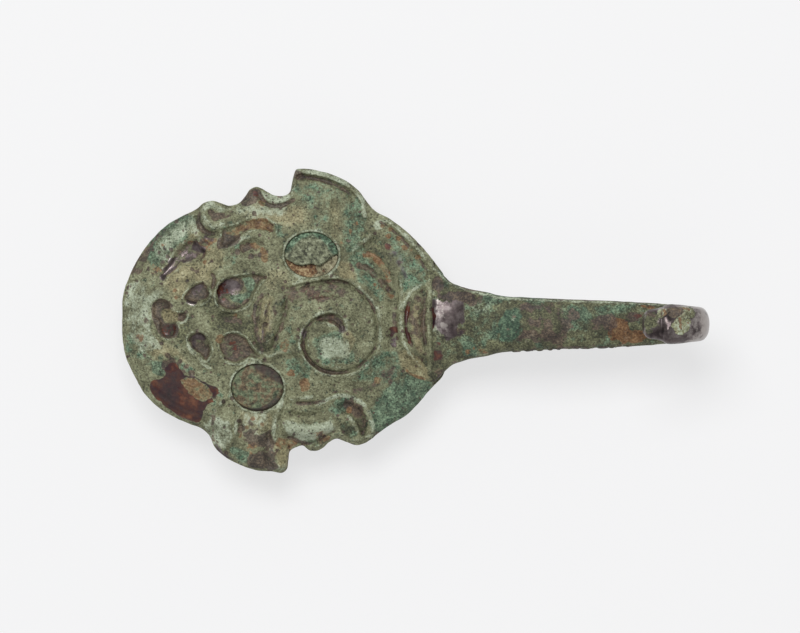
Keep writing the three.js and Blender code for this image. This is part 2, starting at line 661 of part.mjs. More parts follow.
function hookCasting() {
  let solid = plateSolid();
  for (const hollowed of hollowSolids()) solid = solid.subtract(hollowed);
  solid = solid.add(shaftSolid()).add(seatBoss());
  for (const raised of reliefSolids()) solid = solid.add(raised);
  for (const lump of headLumpShares) solid = solid.add(headLump(lump));
  solid = solid.subtract(mouthSolid());
  for (const cell of [upperCell, lowerCell]) solid = solid.add(cellRim(cell)).subtract(cellPocket(cell));
  solid = solid.subtract(tenonSocket());
  return geometryOf(solid);
}

// The button, its stem and its tenon, turned about one axis
function buttonGeometry() {
  const corner = (x, z, fromDegrees, radius, steps) => Array.from({ length: steps + 1 }, (_, i) => {
    const angle = THREE.MathUtils.degToRad(fromDegrees + 90 * i / steps);
    return new THREE.Vector2(x + radius * Math.cos(angle), z + radius * Math.sin(angle));
  });
  const fillet = (x, z, fromDegrees, radius, steps) => Array.from({ length: steps + 1 }, (_, i) => {
    const angle = THREE.MathUtils.degToRad(fromDegrees - 90 * i / steps);
    return new THREE.Vector2(x + radius * Math.cos(angle), z + radius * Math.sin(angle));
  });
  const profile = [
    new THREE.Vector2(0, 0),
    ...corner(buttonRadius - buttonRimRound, buttonRimRound, -90, buttonRimRound, 4),
    ...corner(buttonRadius - buttonRimRound, buttonThickness - buttonRimRound, 0, buttonRimRound, 4),
    ...fillet(stemRadius + stemFillet, buttonThickness + stemFillet, 270, stemFillet, 4),
    new THREE.Vector2(stemRadius, stemTop),
    new THREE.Vector2(tenonRadius, stemTop),
    new THREE.Vector2(tenonRadius, stemTop + tenonLength),
    new THREE.Vector2(0, stemTop + tenonLength),
  ];
  return new THREE.LatheGeometry(profile, 48).rotateX(Math.PI / 2);
}

function named(name, geometry, material) {
  const mesh = new THREE.Mesh(geometry, material);
  mesh.name = name;
  return mesh;
}

const patinatedBronze = new THREE.MeshStandardMaterial({ color: '#7f8f74', roughness: 0.6, metalness: 0.4 });
const wornBronze = new THREE.MeshStandardMaterial({ color: '#6f7a5e', roughness: 0.55, metalness: 0.5 });
const greenInlay = new THREE.MeshStandardMaterial({ color: '#6d9a6c', roughness: 0.75, metalness: 0 });
const mottledInlay = new THREE.MeshStandardMaterial({ color: '#77755a', roughness: 0.7, metalness: 0 });
const upperPaste = new THREE.MeshStandardMaterial({ color: '#8c5a34', roughness: 0.9, metalness: 0 });
const lowerPaste = new THREE.MeshStandardMaterial({ color: '#7c5434', roughness: 0.9, metalness: 0 });

function cellGroup(cell, pieces) {
  const group = new THREE.Group();
  cellFrame(cell).decompose(group.position, group.quaternion, group.scale);
  group.add(...pieces);
  return group;
}

const garmentHook = new THREE.Group();
garmentHook.add(
  named('hook_casting', hookCasting(), patinatedBronze),
  named('button', buttonGeometry(), wornBronze),
  cellGroup(upperCell, [
    named('upper_inlay_bed', bedGeometry(upperCell), upperPaste),
    named('upper_round_inlay', chippedInlay(upperCell), greenInlay),
  ]),
  cellGroup(lowerCell, [
    named('lower_inlay_bed', bedGeometry(lowerCell), lowerPaste),
    named('lower_round_inlay', inlayGeometry(lowerCell), mottledInlay),
  ]),
);

export default garmentHook;
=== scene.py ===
# A cast bronze garment hook, finished for rendering: a relief plate under a green crust, a neck and shaft
# that end in a hook with an animal's head, a stud button on the back, and two round cells with beds and
# inlays. Shapes are worked out in millimetres from the CAD part's sizes and written to the meshes in metres.

import math

import bpy
import numpy as np
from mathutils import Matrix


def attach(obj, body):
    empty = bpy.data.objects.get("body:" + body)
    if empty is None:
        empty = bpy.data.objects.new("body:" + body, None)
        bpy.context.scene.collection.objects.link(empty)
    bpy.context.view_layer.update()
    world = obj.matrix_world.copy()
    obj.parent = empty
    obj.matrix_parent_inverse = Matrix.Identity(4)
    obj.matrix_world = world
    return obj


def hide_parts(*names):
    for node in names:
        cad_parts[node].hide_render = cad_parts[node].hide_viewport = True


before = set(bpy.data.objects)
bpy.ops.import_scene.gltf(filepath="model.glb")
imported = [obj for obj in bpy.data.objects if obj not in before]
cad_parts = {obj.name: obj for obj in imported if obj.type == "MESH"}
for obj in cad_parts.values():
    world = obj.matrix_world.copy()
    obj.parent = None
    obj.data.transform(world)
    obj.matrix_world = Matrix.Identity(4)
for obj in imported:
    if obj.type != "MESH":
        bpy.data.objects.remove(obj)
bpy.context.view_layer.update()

# Stud button: a cast bronze disc on a short stem, which goes through the slit in the belt. The stem's tenon
# sits in a socket in the plate's back. The rim is rubbed brown, and green is left in the inner corner.

mm = 0.001
button_radius = 8.5
button_thickness = 2.0
button_rim_round = 0.6
stem_radius = 2.8
stem_length = 6.0
stem_fillet = 0.7
tenon_radius = 2.0
tenon_length = 1.3
stem_top = button_thickness + stem_length
tenon_top = stem_top + tenon_length
rim = button_radius - button_rim_round
button_grid = 0.16
button_spokes = 240
pole_reach = 0.4, 0.3
dent_depth, scar_depth = 0.06, 0.03
flat_level, seat_level = 0.05, stem_top - 0.1


def closed_skin(name, rings):
    """A closed mesh over rings of points in mm, an array (ring, spoke, xyz): quads (i, k), (i, k + 1),
    (i + 1, k + 1), (i + 1, k), and a fan from the mean of the first ring and of the last ring."""
    ring_count, spoke_count, _ = rings.shape
    points = np.concatenate([rings.reshape(-1, 3), rings[[0, -1]].mean(axis=1)])
    ring, spoke = np.meshgrid(np.arange(ring_count - 1), np.arange(spoke_count), indexing="ij")
    here = (ring * spoke_count + spoke).ravel()
    beside = (ring * spoke_count + (spoke + 1) % spoke_count).ravel()
    quads = np.stack([here, beside, beside + spoke_count, here + spoke_count], axis=1)
    first = np.arange(spoke_count)
    after = (first + 1) % spoke_count
    last = first + (ring_count - 1) * spoke_count
    first_fan = np.stack([after, first, np.full(spoke_count, len(points) - 2)], axis=1)
    last_fan = np.stack([last, last[after], np.full(spoke_count, len(points) - 1)], axis=1)
    corners = points[quads]
    spread = np.cross(corners[:, 2] - corners[:, 0], corners[:, 3] - corners[:, 1])
    if np.einsum("ij,ij->", corners.mean(axis=1) - points.mean(axis=0), spread) < 0:
        quads, first_fan, last_fan = quads[:, ::-1], first_fan[:, ::-1], last_fan[:, ::-1]
    mesh = bpy.data.meshes.new(name)
    mesh.from_pydata((points * mm).tolist(), [], quads.tolist() + first_fan.tolist() + last_fan.tolist())
    mesh.shade_smooth()
    piece = bpy.data.objects.new(name, mesh)
    bpy.context.scene.collection.objects.link(piece)
    return piece


def lay_on(piece, coats):
    """Writes each coat, an array (ring, spoke) of shares from 0 to 1, to the skin's points as attributes."""
    for name, share in coats.items():
        poles = [share[0].mean(), share[-1].mean()]
        layer = piece.data.attributes.new(name, "FLOAT", "POINT")
        layer.data.foreach_set("value", np.append(share.ravel(), poles).astype(np.float32))


grit = np.random.default_rng(1952).random((32, 32, 32))


def noise(points, size):
    """Smooth noise from -1 to 1 at points in mm: seeded values at the corners of cubes of this size, mixed
    along each axis by the weight w = t * t * (3 - 2 * t)."""
    place = points / size
    corner = np.floor(place).astype(int)
    t = place - corner
    w = t * t * (3 - 2 * t)
    total = 0
    for step in np.ndindex(2, 2, 2):
        value = grit[tuple((corner[..., i] + d) % len(grit) for i, d in enumerate(step))]
        total = total + value * np.prod(np.where(step, w, 1 - w), axis=-1)
    return 2 * total - 1


def crust(points, size, layers=3, shift=7.3, spread=1.6):
    """Fractal noise from about -1 to 1: the sum of noise at size, size / 2, size / 4 and so on, each half as
    strong as the one before and shifted from it, divided by the spread."""
    return sum(noise(points + shift * i, size / 2**i) / 2**i for i in range(layers)) / spread


def ramp(value, low, high):
    """0 below low, 1 above high, and t * t * (3 - 2 * t) between them."""
    t = np.clip((value - low) / (high - low), 0, 1)
    return t * t * (3 - 2 * t)


def blotches(points, size, low, high, shift=0):
    """Blotches from 0 to 1: a ramp from low to high of fractal noise of this size, read at shifted points."""
    return ramp(crust(points + shift, size), low, high)


def arc(radius, height, bend, from_degrees, to_degrees, steps=6):
    """Places (radius, height) along an arc of radius bend: (r + b cos a, h + b sin a)."""
    a = np.radians(np.linspace(from_degrees, to_degrees, steps))
    return np.stack([radius + bend * np.cos(a), height + bend * np.sin(a)], axis=1)


def turned(profile, spokes):
    """Rings of a form turned about the stem's axis: (r cos a, r sin a, h) for each (r, h) of the profile."""
    a = np.linspace(0, 2 * np.pi, spokes, endpoint=False)
    radius, height = profile[:, :1], profile[:, 1:]
    return np.stack([radius * np.cos(a), radius * np.sin(a), height + 0 * a], axis=2)


def walk(corners, step):
    """Places along the straight pieces between corners, about one step apart."""
    along = np.append(0, np.cumsum(np.linalg.norm(np.diff(corners, axis=0), axis=1)))
    at = np.linspace(0, along[-1], int(along[-1] / step) + 1)
    return np.stack([np.interp(at, along, column) for column in corners.T], axis=1)


button_rings = turned(walk(np.concatenate([
    [[pole_reach[0], 0.0], [rim * 0.6, 0.0]],
    arc(rim, button_rim_round, button_rim_round, -90, 0),
    arc(rim, button_thickness - button_rim_round, button_rim_round, 0, 90),
    arc(stem_radius + stem_fillet, button_thickness + stem_fillet, stem_fillet, 270, 180),
    [[stem_radius, stem_top], [tenon_radius, stem_top], [tenon_radius, tenon_top],
     [pole_reach[1], tenon_top]],
]), button_grid), button_spokes)
button_reach = np.linalg.norm(button_rings[..., :2], axis=2)
button_height = button_rings[..., 2]
dents = (dent_depth * blotches(button_rings, 2.2, -0.1, 0.9)
         + scar_depth * blotches(button_rings, 0.7, 0.1, 0.8, 40))
dents = dents * (button_height < seat_level) * (button_height > flat_level)
button_rings[..., :2] *= (1 - dents / np.maximum(button_reach, 1))[..., None]
on_inner_face = (button_height > button_thickness - 0.2) * (button_reach > stem_radius + 0.3)
button_rings[..., 2] -= dents * on_inner_face

stud_button = closed_skin("stud_button", button_rings)
inner_corner = ramp(button_reach, 6.2, 3.4) * (button_height > 1.5)
rubbed_rim = ramp(button_reach, rim - 0.3, button_radius)
stud_clouds = crust(button_rings + 15, 3.0)
lay_on(stud_button, {
    "green": 0.75 * inner_corner + 0.5 * ramp(stud_clouds, 0.2, 0.5),
    "soil": 0.7 * blotches(button_rings, 1.8, 0.45, 0.7, 60),
    "dark": 0.4 * ramp(button_height, 4.0, 8.0) + 0.5 * ramp(-stud_clouds, 0.2, 0.6),
    "worn": (0.85 * rubbed_rim
             + 0.6 * (button_height < flat_level) * blotches(button_rings, 2.5, -0.2, 0.3, 90)),
    "olive": 0.7 * blotches(button_rings, 4.0, -0.3, 0.4, 77),
    "red": 0.5 * blotches(button_rings, 2.4, 0.5, 0.7, 33),
})


class Tone:
    """A socket of a material, so that its maths reads as Python: sums, differences and products of tones add
    Math nodes. node() adds any other node from its type, its settings, which are set first, and the values or
    links of its sockets, and gives one of its outputs as a tone."""

    def __init__(self, tree, socket=None):
        self.tree = tree
        self.socket = socket

    def node(self, kind, settings=None, sockets=None, output=0):
        made = self.tree.nodes.new(kind)
        for key, value in (settings or {}).items():
            if key == "stops":
                band = made.color_ramp
                band.elements[0].position = value[0][0]
                band.elements[-1].position = value[-1][0]
                for place, _ in value[1:-1]:
                    band.elements.new(place)
                for element, (_, code) in zip(band.elements, value):
                    element.color = tint(code)
            else:
                setattr(made, key, value)
        for key, value in (sockets or {}).items():
            if isinstance(value, Tone):
                self.tree.links.new(value.socket, made.inputs[key])
            else:
                made.inputs[key].default_value = value
        return Tone(self.tree, made.outputs[output] if len(made.outputs) else None)

    def maths(self, operation, *values):
        return self.node("ShaderNodeMath", {"operation": operation}, dict(enumerate(values)))

    def __add__(self, other):
        return self.maths("ADD", self, other)

    def __mul__(self, other):
        return self.maths("MULTIPLY", self, other)

    def __sub__(self, other):
        return self.maths("SUBTRACT", self, other)

    def __rsub__(self, other):
        return self.maths("SUBTRACT", other, self)

    __radd__ = __add__
    __rmul__ = __mul__

    def between(self, low, high):
        """0 below low and 1 above high, smooth between them."""
        settings = {"interpolation_type": "SMOOTHSTEP"}
        return self.node("ShaderNodeMapRange", settings, {"Value": self, "From Min": low, "From Max": high})

    def toward(self, colour, share):
        """This colour mixed with another by a share."""
        return self.node("ShaderNodeMix", {"data_type": "RGBA"}, {0: share, 6: self, 7: colour}, output=2)

    def bands(self, *stops):
        """The colour for this value, from stops of (value, colour code)."""
        return self.node("ShaderNodeValToRGB", {"stops": stops}, {0: self})


def tint(code):
    """The linear colour of a six-figure sRGB code: ((c + 0.055) / 1.055) ** 2.4 for each c."""
    part = [int(code[i:i + 2], 16) / 255 for i in (0, 2, 4)]
    return (*(((c + 0.055) / 1.055)**2.4 if c > 0.04 else c / 12.92 for c in part), 1.0)


def new_finish(name):
    """A material with an empty tree, and a tone to start its nodes from."""
    finish = bpy.data.materials.new(name)
    finish.use_nodes = True
    finish.node_tree.nodes.clear()
    return finish, Tone(finish.node_tree)


def mottle(start, size, detail=4.0, roughness=0.6):
    """Fractal noise in the object's own space, with patches of this size in mm."""
    place = start.node("ShaderNodeTexCoord", output="Object")
    sockets = {"Vector": place, "Scale": 1 / (size * mm), "Detail": detail, "Roughness": roughness}
    return start.node("ShaderNodeTexNoise", {"noise_dimensions": "3D"}, sockets)


def coat_of(start, name, breakup, strength, soft=0.22):
    """A coat's share with its border broken up by a noise, and blurred over the given part of its range."""
    share = start.node("ShaderNodeAttribute", {"attribute_name": name}, output="Fac")
    return (share + (breakup - 0.5) * strength).between(0.52 - soft, 0.52 + soft)


def rough_ground(start, height, strength, depth=0.25):
    """A finish's bumps: a height over a depth in mm."""
    return start.node("ShaderNodeBump", {}, {"Strength": strength, "Distance": depth * mm, "Height": height})


def surface(start, sockets):
    """Joins a Principled shader with these sockets to the finish's output."""
    shader = start.node("ShaderNodeBsdfPrincipled", {}, sockets)
    start.node("ShaderNodeOutputMaterial", {}, {"Surface": shader})


# The patina: crusts by kind, from dark to light over a fine grain, then laid one over the other by the coats
bronze_patina, start = new_finish("bronze_patina")
broad = mottle(start, 4.5, 3.0, 0.5)
middling = mottle(start, 1.6, 6.0, 0.62)
fine = mottle(start, 0.26, 3.0, 0.7)
specks = mottle(start, 0.3, 1.0, 0.5)
flecks = mottle(start, 0.9, 4.0, 0.6)
blend = middling * 0.54 + fine * 0.66 - 0.1
plain_crust = blend.bands(
    (0.33, "4a4b38"), (0.43, "696a50"), (0.5, "7e7f62"), (0.57, "8f9375"), (0.68, "aeb495"),
)
olive_crust = blend.bands((0.37, "28281c"), (0.5, "4f503a"), (0.63, "80825f"))
malachite = blend.bands((0.34, "22362c"), (0.45, "3f5545"), (0.53, "5d755f"), (0.66, "8eab8f"))
teal_crust = blend.bands((0.34, "1c3d2d"), (0.5, "426f56"), (0.66, "82ad90"))
sea_crust = blend.bands((0.34, "142e27"), (0.5, "365645"), (0.66, "6c8d74"))
tan_crust = blend.bands((0.34, "6e6548"), (0.5, "a1946e"), (0.66, "cbc09a"))
pale_crust_and_highlight = blend.bands((0.34, "7d846a"), (0.5, "a0a991"), (0.66, "c5cfb8"))
recess = blend.bands((0.34, "1b1312"), (0.5, "44352f"), (0.64, "73604f"))
earth = blend.bands((0.34, "4b331f"), (0.5, "7a6446"), (0.66, "a69069"))
rust = blend.bands((0.34, "3a1e0c"), (0.5, "6d472a"), (0.66, "99714d"))
bare_metal = middling.bands((0.34, "362d30"), (0.5, "5b5052"), (0.66, "807778"))
cuprite = (broad * 0.4 + middling * 0.35 + flecks * 0.25).bands(
    (0.4, "1f131b"), (0.46, "351a21"), (0.52, "47221c"), (0.6, "74442d"),
)
torn = middling * 0.4 + flecks * 0.4 + fine * 0.2
green = coat_of(start, "green", torn, 2.8)
dark = coat_of(start, "dark", torn, 4.0, 0.1)
soil = coat_of(start, "soil", torn, 4.0, 0.12)
worn = coat_of(start, "worn", torn, 2.4, 0.16)
pale = coat_of(start, "pale", torn, 2.4)
red = coat_of(start, "red", torn, 3.0, 0.1)
olive = coat_of(start, "olive", torn, 2.4)
tan = coat_of(start, "tan", torn, 2.2, 0.35)
sea = coat_of(start, "sea", torn, 2.4)
pits = (specks + (flecks - 0.5) * 0.4).between(0.64, 0.68)
rusty = (middling * 0.5 + flecks * 0.5 + olive * 0.09).between(0.46, 0.58)
patina = plain_crust.toward(olive_crust, broad.between(0.46, 0.62) * 0.3)
# The pale coat is partly painted highlight: on ridges, rims and edges it lays pale crust colour as highlight,
# and on bare metal it lightens it, a painted highlight bar on the saddle and a lighter worn tone on the
# hook's bend
for coat, share in (
    (olive_crust, olive * 0.85), (malachite, green * 0.75), (malachite, flecks.between(0.6, 0.66) * 0.5),
    (teal_crust, green * (1 - olive * 0.7) * flecks.between(0.52, 0.62) * 0.4), (sea_crust, sea * 0.75),
    (tan_crust, tan * 0.5), (pale_crust_and_highlight, pale * 0.88), (tint("2a2c20"), pits * 0.7),
    (earth.toward(rust, rusty), soil * 0.8), (recess, dark * 0.86),
    (bare_metal.toward(tint("aaa19e"), pale * 0.75), worn * 0.9), (cuprite, red * 0.95),
):
    patina = patina.toward(coat, share)
smooth = start.maths("MINIMUM", worn + red * 0.85 + dark * 0.35, 1.0)
surface(start, {
    "Base Color": patina, "Roughness": 0.76 + (fine - 0.5) * 0.3 * (1 - smooth) - smooth * 0.46,
    "Metallic": worn * 0.75, "IOR": 1.5, "Normal": rough_ground(
        start, middling * 0.5 + fine * 0.3 - pits * 0.4 - dark * 0.25, 0.6 - smooth * 0.52, 0.3),
})

stud_button.data.materials.append(bronze_patina)
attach(stud_button, "root")
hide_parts("button")

# Relief plate: the domed front of the casting. A beast coils over it, with a coiled haunch, comma and drop
# cells that have lost their inlays, two ear lobes and a collar where the shaft leaves. The relief was in the
# mould's model, and corrosion has crusted it green, with brown metal left where it was handled.

plate_half_length = 20
plate_half_width = 17.5
stem_offset_along = 2.9
stem_offset_across = 0.5
plate_edge_thickness = 1.4
plate_dome_rise = 2.6
plate_back_hollow = 2.0
dome_fullness = 1.2
seat_boss_height = 0.5
seat_boss_radius = 4.2
coil_rise, collar_rise, lobe_rise = 1.2, 1.4, 0.8
back_apex = stem_top + seat_boss_height
edge_underside = back_apex - plate_back_hollow
edge_top = edge_underside + plate_edge_thickness
half_size = np.array([plate_half_length, plate_half_width])
plate_middle = np.array([-stem_offset_along, stem_offset_across])


def on_plate(shares):
    """Places in mm from shares of the plate's half length and half width."""
    return plate_middle + np.array(shares) * half_size


def shares_of(thousandths):
    """Pairs of shares, along and across, from a plain row of them in thousandths."""
    return np.reshape(thousandths, (-1, 2)) / 1000


def smooth_curve(points, count, closed=False):
    """Places along the centripetal Catmull-Rom curve through points, as many between each two. With knots t
    spaced by the root of the chord, the slope at p1 is (p1-p0)/(t1-t0) - (p2-p0)/(t2-t0) + (p2-p1)/(t2-t1).
    """
    points = np.asarray(points, float)
    if closed:
        knots = np.concatenate([points[-1:], points, points[:2]])
    else:
        knots = np.concatenate([2 * points[:1] - points[1:2], points, 2 * points[-1:] - points[-2:-1]])
    gap = np.sqrt(np.linalg.norm(np.diff(knots, axis=0), axis=1))[:, None]
    chord = np.diff(knots, axis=0)
    slope = chord[:-1] / gap[:-1] - (chord[:-1] + chord[1:]) / (gap[:-1] + gap[1:]) + chord[1:] / gap[1:]
    spans = len(knots) - 3
    place = np.linspace(0, spans, count, endpoint=not closed)
    i = np.minimum(place.astype(int), spans - 1)
    t = (place - i)[:, None]
    start_slope, end_slope = slope[i] * gap[i + 1], slope[i + 1] * gap[i + 1]
    p, q = knots[i + 1], knots[i + 2]
    return ((2 * t**3 - 3 * t**2 + 1) * p + (t**3 - 2 * t**2 + t) * start_slope
            + (3 * t**2 - 2 * t**3) * q + (t**3 - t**2) * end_slope)


def line_through(thousandths, closed=True):
    """A smooth line on the plate through places given in thousandths, with four steps for each of them."""
    shares = shares_of(thousandths)
    return on_plate(smooth_curve(shares, 4 * len(shares), closed))


# The plate is worked out on a plan of squares, as a height and as shares of each coat, and its skin reads it
plan_step = 0.1
plan_reach = np.array([[-24.6, -20.6], [20.4, 21.4]])
plan_x, plan_y = np.meshgrid(*[np.arange(a, b, plan_step) for a, b in plan_reach.T], indexing="ij")
plan = np.stack([plan_x, plan_y], axis=2)
plan_points = np.stack([plan_x, plan_y, 0 * plan_x], axis=2)
along_share = (plan_x - plate_middle[0]) / plate_half_length
across_share = (plan_y - plate_middle[1]) / plate_half_width
dome = np.clip(1 - along_share**2 - across_share**2, 0, None)**dome_fullness


def swell(at, reach, rise):
    """A soft hump: rise * (1 - u * u - v * v) ** 2, with u and v from its middle in its own reach."""
    u = (along_share - at[0]) / reach[0]
    v = (across_share - at[1]) / reach[1]
    return rise * np.clip(1 - u * u - v * v, 0, None)**2


def from_line(line, margin=2.4):
    """For each place of the plan near a line: how far off it lies, positive on the left, and how far along,
    from 0 to 1. For each straight piece a to b, t = clip((p - a) . (b - a) / |b - a|^2, 0, 1)."""
    low = ((line.min(axis=0) - margin - plan_reach[0]) / plan_step).astype(int).clip(0)
    high = ((line.max(axis=0) + margin - plan_reach[0]) / plan_step).astype(int) + 1
    window = (slice(low[0], high[0]), slice(low[1], high[1]))
    p = plan[window][..., None, :]
    a, b = line[:-1], line[1:]
    t = np.clip(((p - a) * (b - a)).sum(axis=-1) / ((b - a)**2).sum(axis=-1), 0, 1)
    off = p - a - t[..., None] * (b - a)
    apart = np.linalg.norm(off, axis=-1)
    nearest = apart.argmin(axis=-1)[..., None]
    side = np.sign((b - a)[:, 0] * off[..., 1] - (b - a)[:, 1] * off[..., 0])
    pick = [np.take_along_axis(v, nearest, axis=-1)[..., 0] for v in (apart, side, t)]
    return window, pick[0] * np.where(pick[1] < 0, -1, 1), (nearest[..., 0] + pick[2]) / len(a)


def inside(outline, margin=1.5):
    """For each place of the plan near an outline: how deep inside it lies in mm, negative outside. A place is
    inside where a line drawn from it to the right crosses the outline an odd number of times."""
    line = np.concatenate([outline, outline[:1]])
    window, off, _ = from_line(line, margin)
    x, y = plan[window][..., 0, None], plan[window][..., 1, None]
    a, b = line[:-1], line[1:]
    spans = (a[:, 1] > y) != (b[:, 1] > y)
    rise = np.where(b[:, 1] == a[:, 1], 1, b[:, 1] - a[:, 1])
    crossed = spans & (x < a[:, 0] + (y - a[:, 1]) * (b[:, 0] - a[:, 0]) / rise)
    return window, np.abs(off) * np.where(crossed.sum(axis=-1) % 2, 1, -1)


raised_by = np.zeros_like(plan_x)
sunk_by = np.zeros_like(plan_x)
coat_names = "green", "soil", "dark", "worn", "pale", "red", "olive", "tan"
coats = {name: np.zeros_like(plan_x) for name in coat_names}
ragged = 0.4 * crust(plan_points + 25, 1.2)
in_places = blotches(plan_points, 1.5, -0.5, 0.2, 310)


def at_least(field, window, value):
    """Raises a field of the plan to a value, where it is lower, in a window of it."""
    field[window] = np.maximum(field[window], value)


def stroke(places, section, coat=None, taper=5):
    """A ridge or groove along a curve: section gives the height in mm at each distance off it in mm, positive
    on the left. At each end it runs out over 1 / taper of its length. A coat may lie along it, given as its
    name, its width in mm and its share."""
    window, off, share = from_line(line_through(places, closed=False))
    ends = np.sqrt(np.clip(np.minimum(share, 1 - share) * taper, 0, 1))
    far, up = np.array(section).T
    height = np.interp(off, far, up, left=0, right=0) * (0.25 + 0.75 * ends)
    at_least(raised_by, window, height)
    at_least(sunk_by, window, -height)
    # A pale coat along a ridge or lip is partly painted highlight, and a dark coat along a crease, trough or
    # scratch is partly painted shade; the rest is pale crust and dark corrosion
    if coat:
        name, width, most = coat
        near = most * ends * ramp(np.abs(off), width, 0.3 * width)
        at_least(coats[name], window, near * (0.6 + 0.4 * in_places[window]))


def cell(places, depth, rim_height=0.3, rim_width=0.22, wall=0.45, floor="dark", share=0.72):
    """A cell sunk in the face: a thin raised rim about a steep wall and a dished floor with a coat on it."""
    window, deep = inside(line_through(places))
    deep = deep + 0.3 * ragged[window]
    rim_part = rim_height * np.clip(1 - ((deep + 0.6 * rim_width) / rim_width)**2, 0, 1)
    raised_by[window] = np.maximum(raised_by[window] * (deep < wall), rim_part)
    at_least(sunk_by, window, depth * (0.65 * ramp(deep, 0, wall) + 0.35 * ramp(deep, 0, 4 * wall)))
    at_least(coats[floor], window, share * ramp(deep, 0.0, 0.6 * wall))
    # The pale coat on the rim is painted highlight
    at_least(coats["pale"], window, 0.55 * in_places[window] * (rim_part > 0.4 * rim_height))


def patch(coat, places, share=0.9, soft=0.5):
    """A patch of a coat inside an outline, with a soft and ragged border."""
    window, deep = inside(line_through(places))
    at_least(coats[coat], window, share * ramp(deep + ragged[window], -soft, 0.6 * soft))


def clear_patch(coat, places, soft=0.4):
    """Takes a coat away inside an outline."""
    window, deep = inside(line_through(places))
    coats[coat][window] *= 1 - ramp(deep + ragged[window], -soft, soft)


def dots(coat, places, radius, share=0.95):
    """Small ragged dots of a coat, each with its middle at one of the places."""
    for x, y in on_plate(shares_of(places)):
        apart = np.hypot(plan_x - x, plan_y - y) + 0.5 * ragged
        at_least(coats[coat], ..., share * ramp(apart, 1.3 * radius, 0.7 * radius))


face = edge_top + plate_dome_rise * dome
for at, reach, rise in (
    ([0.4, -0.05], [0.36, 0.47], coil_rise), ([0.93, -0.04], [0.27, 0.5], collar_rise),
    ([-0.68, 0.02], [0.3, 0.38], lobe_rise), ([0.32, 0.86], [0.3, 0.36], lobe_rise),
    ([-0.1, -0.84], [0.3, 0.34], lobe_rise), ([0.42, -0.7], [0.32, 0.26], lobe_rise),
    ([-0.3, 0.6], [0.3, 0.3], lobe_rise),
):
    face = face + swell(at, reach, rise)

# Sections of the relief's ridges and grooves, as distance off the line and height in mm
bold = [[-1.05, 0], [-0.6, 0.55], [-0.2, 0.8], [0.2, 0.8], [0.6, 0.55], [1.05, 0]]
band = [[-0.7, 0], [-0.38, 0.4], [-0.1, 0.6], [0.1, 0.6], [0.38, 0.4], [0.7, 0]]
thin = [[-0.45, 0], [-0.16, 0.38], [0.16, 0.38], [0.45, 0]]
haunch = [
    [-2.2, 0.25], [-1.5, 0.45], [-0.9, 0.45], [-0.55, 0.25], [-0.32, -0.2], [-0.18, -0.2], [-0.02, 0.35],
    [0.1, 0.55], [0.25, 0.58], [0.7, 0.4], [1.5, 0.12], [2.2, 0],
]
lean_left = [[-0.9, 0], [-0.35, 0.25], [0.1, 0.55], [0.3, 0.55], [0.45, 0]]
lean_right = [[-0.45, 0], [-0.3, 0.55], [-0.1, 0.55], [0.35, 0.25], [0.9, 0]]
muzzle_brink = [[-1.6, 0], [-0.9, 0.35], [-0.3, 0.5], [0.2, 0.3], [0.8, 0]]
low_cheek = [[-1.2, 0], [0, 0.25], [1.2, 0]]
low_brow = [[-1.0, 0], [0, 0.3], [1.0, 0]]
ear_lip = [[-0.5, 0], [-0.3, 0.45], [0.1, 0.5], [0.4, 0]]
collar_lip = [[-0.7, 0], [-0.3, 0.35], [0.0, 0.55], [0.2, 0.5], [0.45, 0]]
scratch = [[-0.3, 0], [0, -0.22], [0.3, 0]]
crease = [[-0.5, 0], [-0.12, -0.4], [0.12, -0.4], [0.5, 0]]
trough = [[-1.1, 0], [-0.4, -0.42], [0.4, -0.42], [1.1, 0]]
flat = [[-1, 0], [1, 0]]

# Throughout the relief, pale coats along ridges are partly painted highlight, and dark coats along grooves
# partly painted shade
# Each ridge, groove, cell and patch is given by places on the plate, along and across it, in thousandths
# of its half length and half width. A cell or a cleared patch also changes what was laid there before it.

# The coiled haunch, its ribs and the creases between them
stroke((
    33, 238, 143, 267, 260, 290, 370, 305, 468, 275, 559, 208, 624, 119, 656, 15, 663, -104, 643, -215,
    585, -312, 494, -379, 390, -401, 286, -379, 214, -319, 163, -230, 156, -141, 182, -59, 221, 0, 286, 37,
    357, 52, 416, 22, 442, -37, 435, -89,
), haunch, taper=9)
stroke((
    163, -134, 175, -238, 221, -319, 286, -371, 390, -394, 487, -371, 559, -312, 604, -223,
), flat, ("dark", 0.36, 0.85))
stroke((338, 290, 409, 297, 481, 267), flat, ("dark", 0.3, 0.9))
stroke((481, 267, 559, 208, 624, 119, 656, 15, 663, -104, 643, -215), flat, ("pale", 0.35, 0.8))
stroke((156, -253, 78, -223, 0, -245, -65, -267), band)
stroke((39, 215, 0, 119, -39, 15, -65, -104, -84, -208), bold, ("dark", 0.75, 0.5))
patch("tan", (-104, 149, -39, 178, -26, 59, -52, -89, -104, -119, -117, 15), 0.7, 0.8)
stroke((-52, 149, -78, 59, -91, -45, -97, -163), band, ("worn", 0.3, 0.55))
stroke((-19, 223, -111, 171, -143, 89, -143, -30, -123, -149, -97, -223, -78, -282), thin, ("dark", 0.5, 0.6))
stroke((65, 178, 58, 74, 26, -45, -13, -163, -39, -238), crease, ("dark", 0.5, 0.6))
stroke((-26, 178, -65, 74, -84, -74, -91, -186), scratch, ("dark", 0.35, 0.6))
patch("dark", (39, 208, 143, 253, 273, 267, 403, 260, 481, 215, 429, 163, 338, 134, 221, 156, 104, 126), 0.5)
patch("soil", (117, 208, 221, 230, 338, 223, 403, 193, 312, 156, 182, 171), 0.5)
patch("green", (
    247, -149, 312, -89, 435, -104, 507, -163, 507, -267, 403, -319, 299, -312, 247, -238,
), 0.66, 0.8)
patch("pale", (286, -149, 403, -134, 468, -193, 442, -267, 338, -282, 286, -223), 0.85, 1.0)
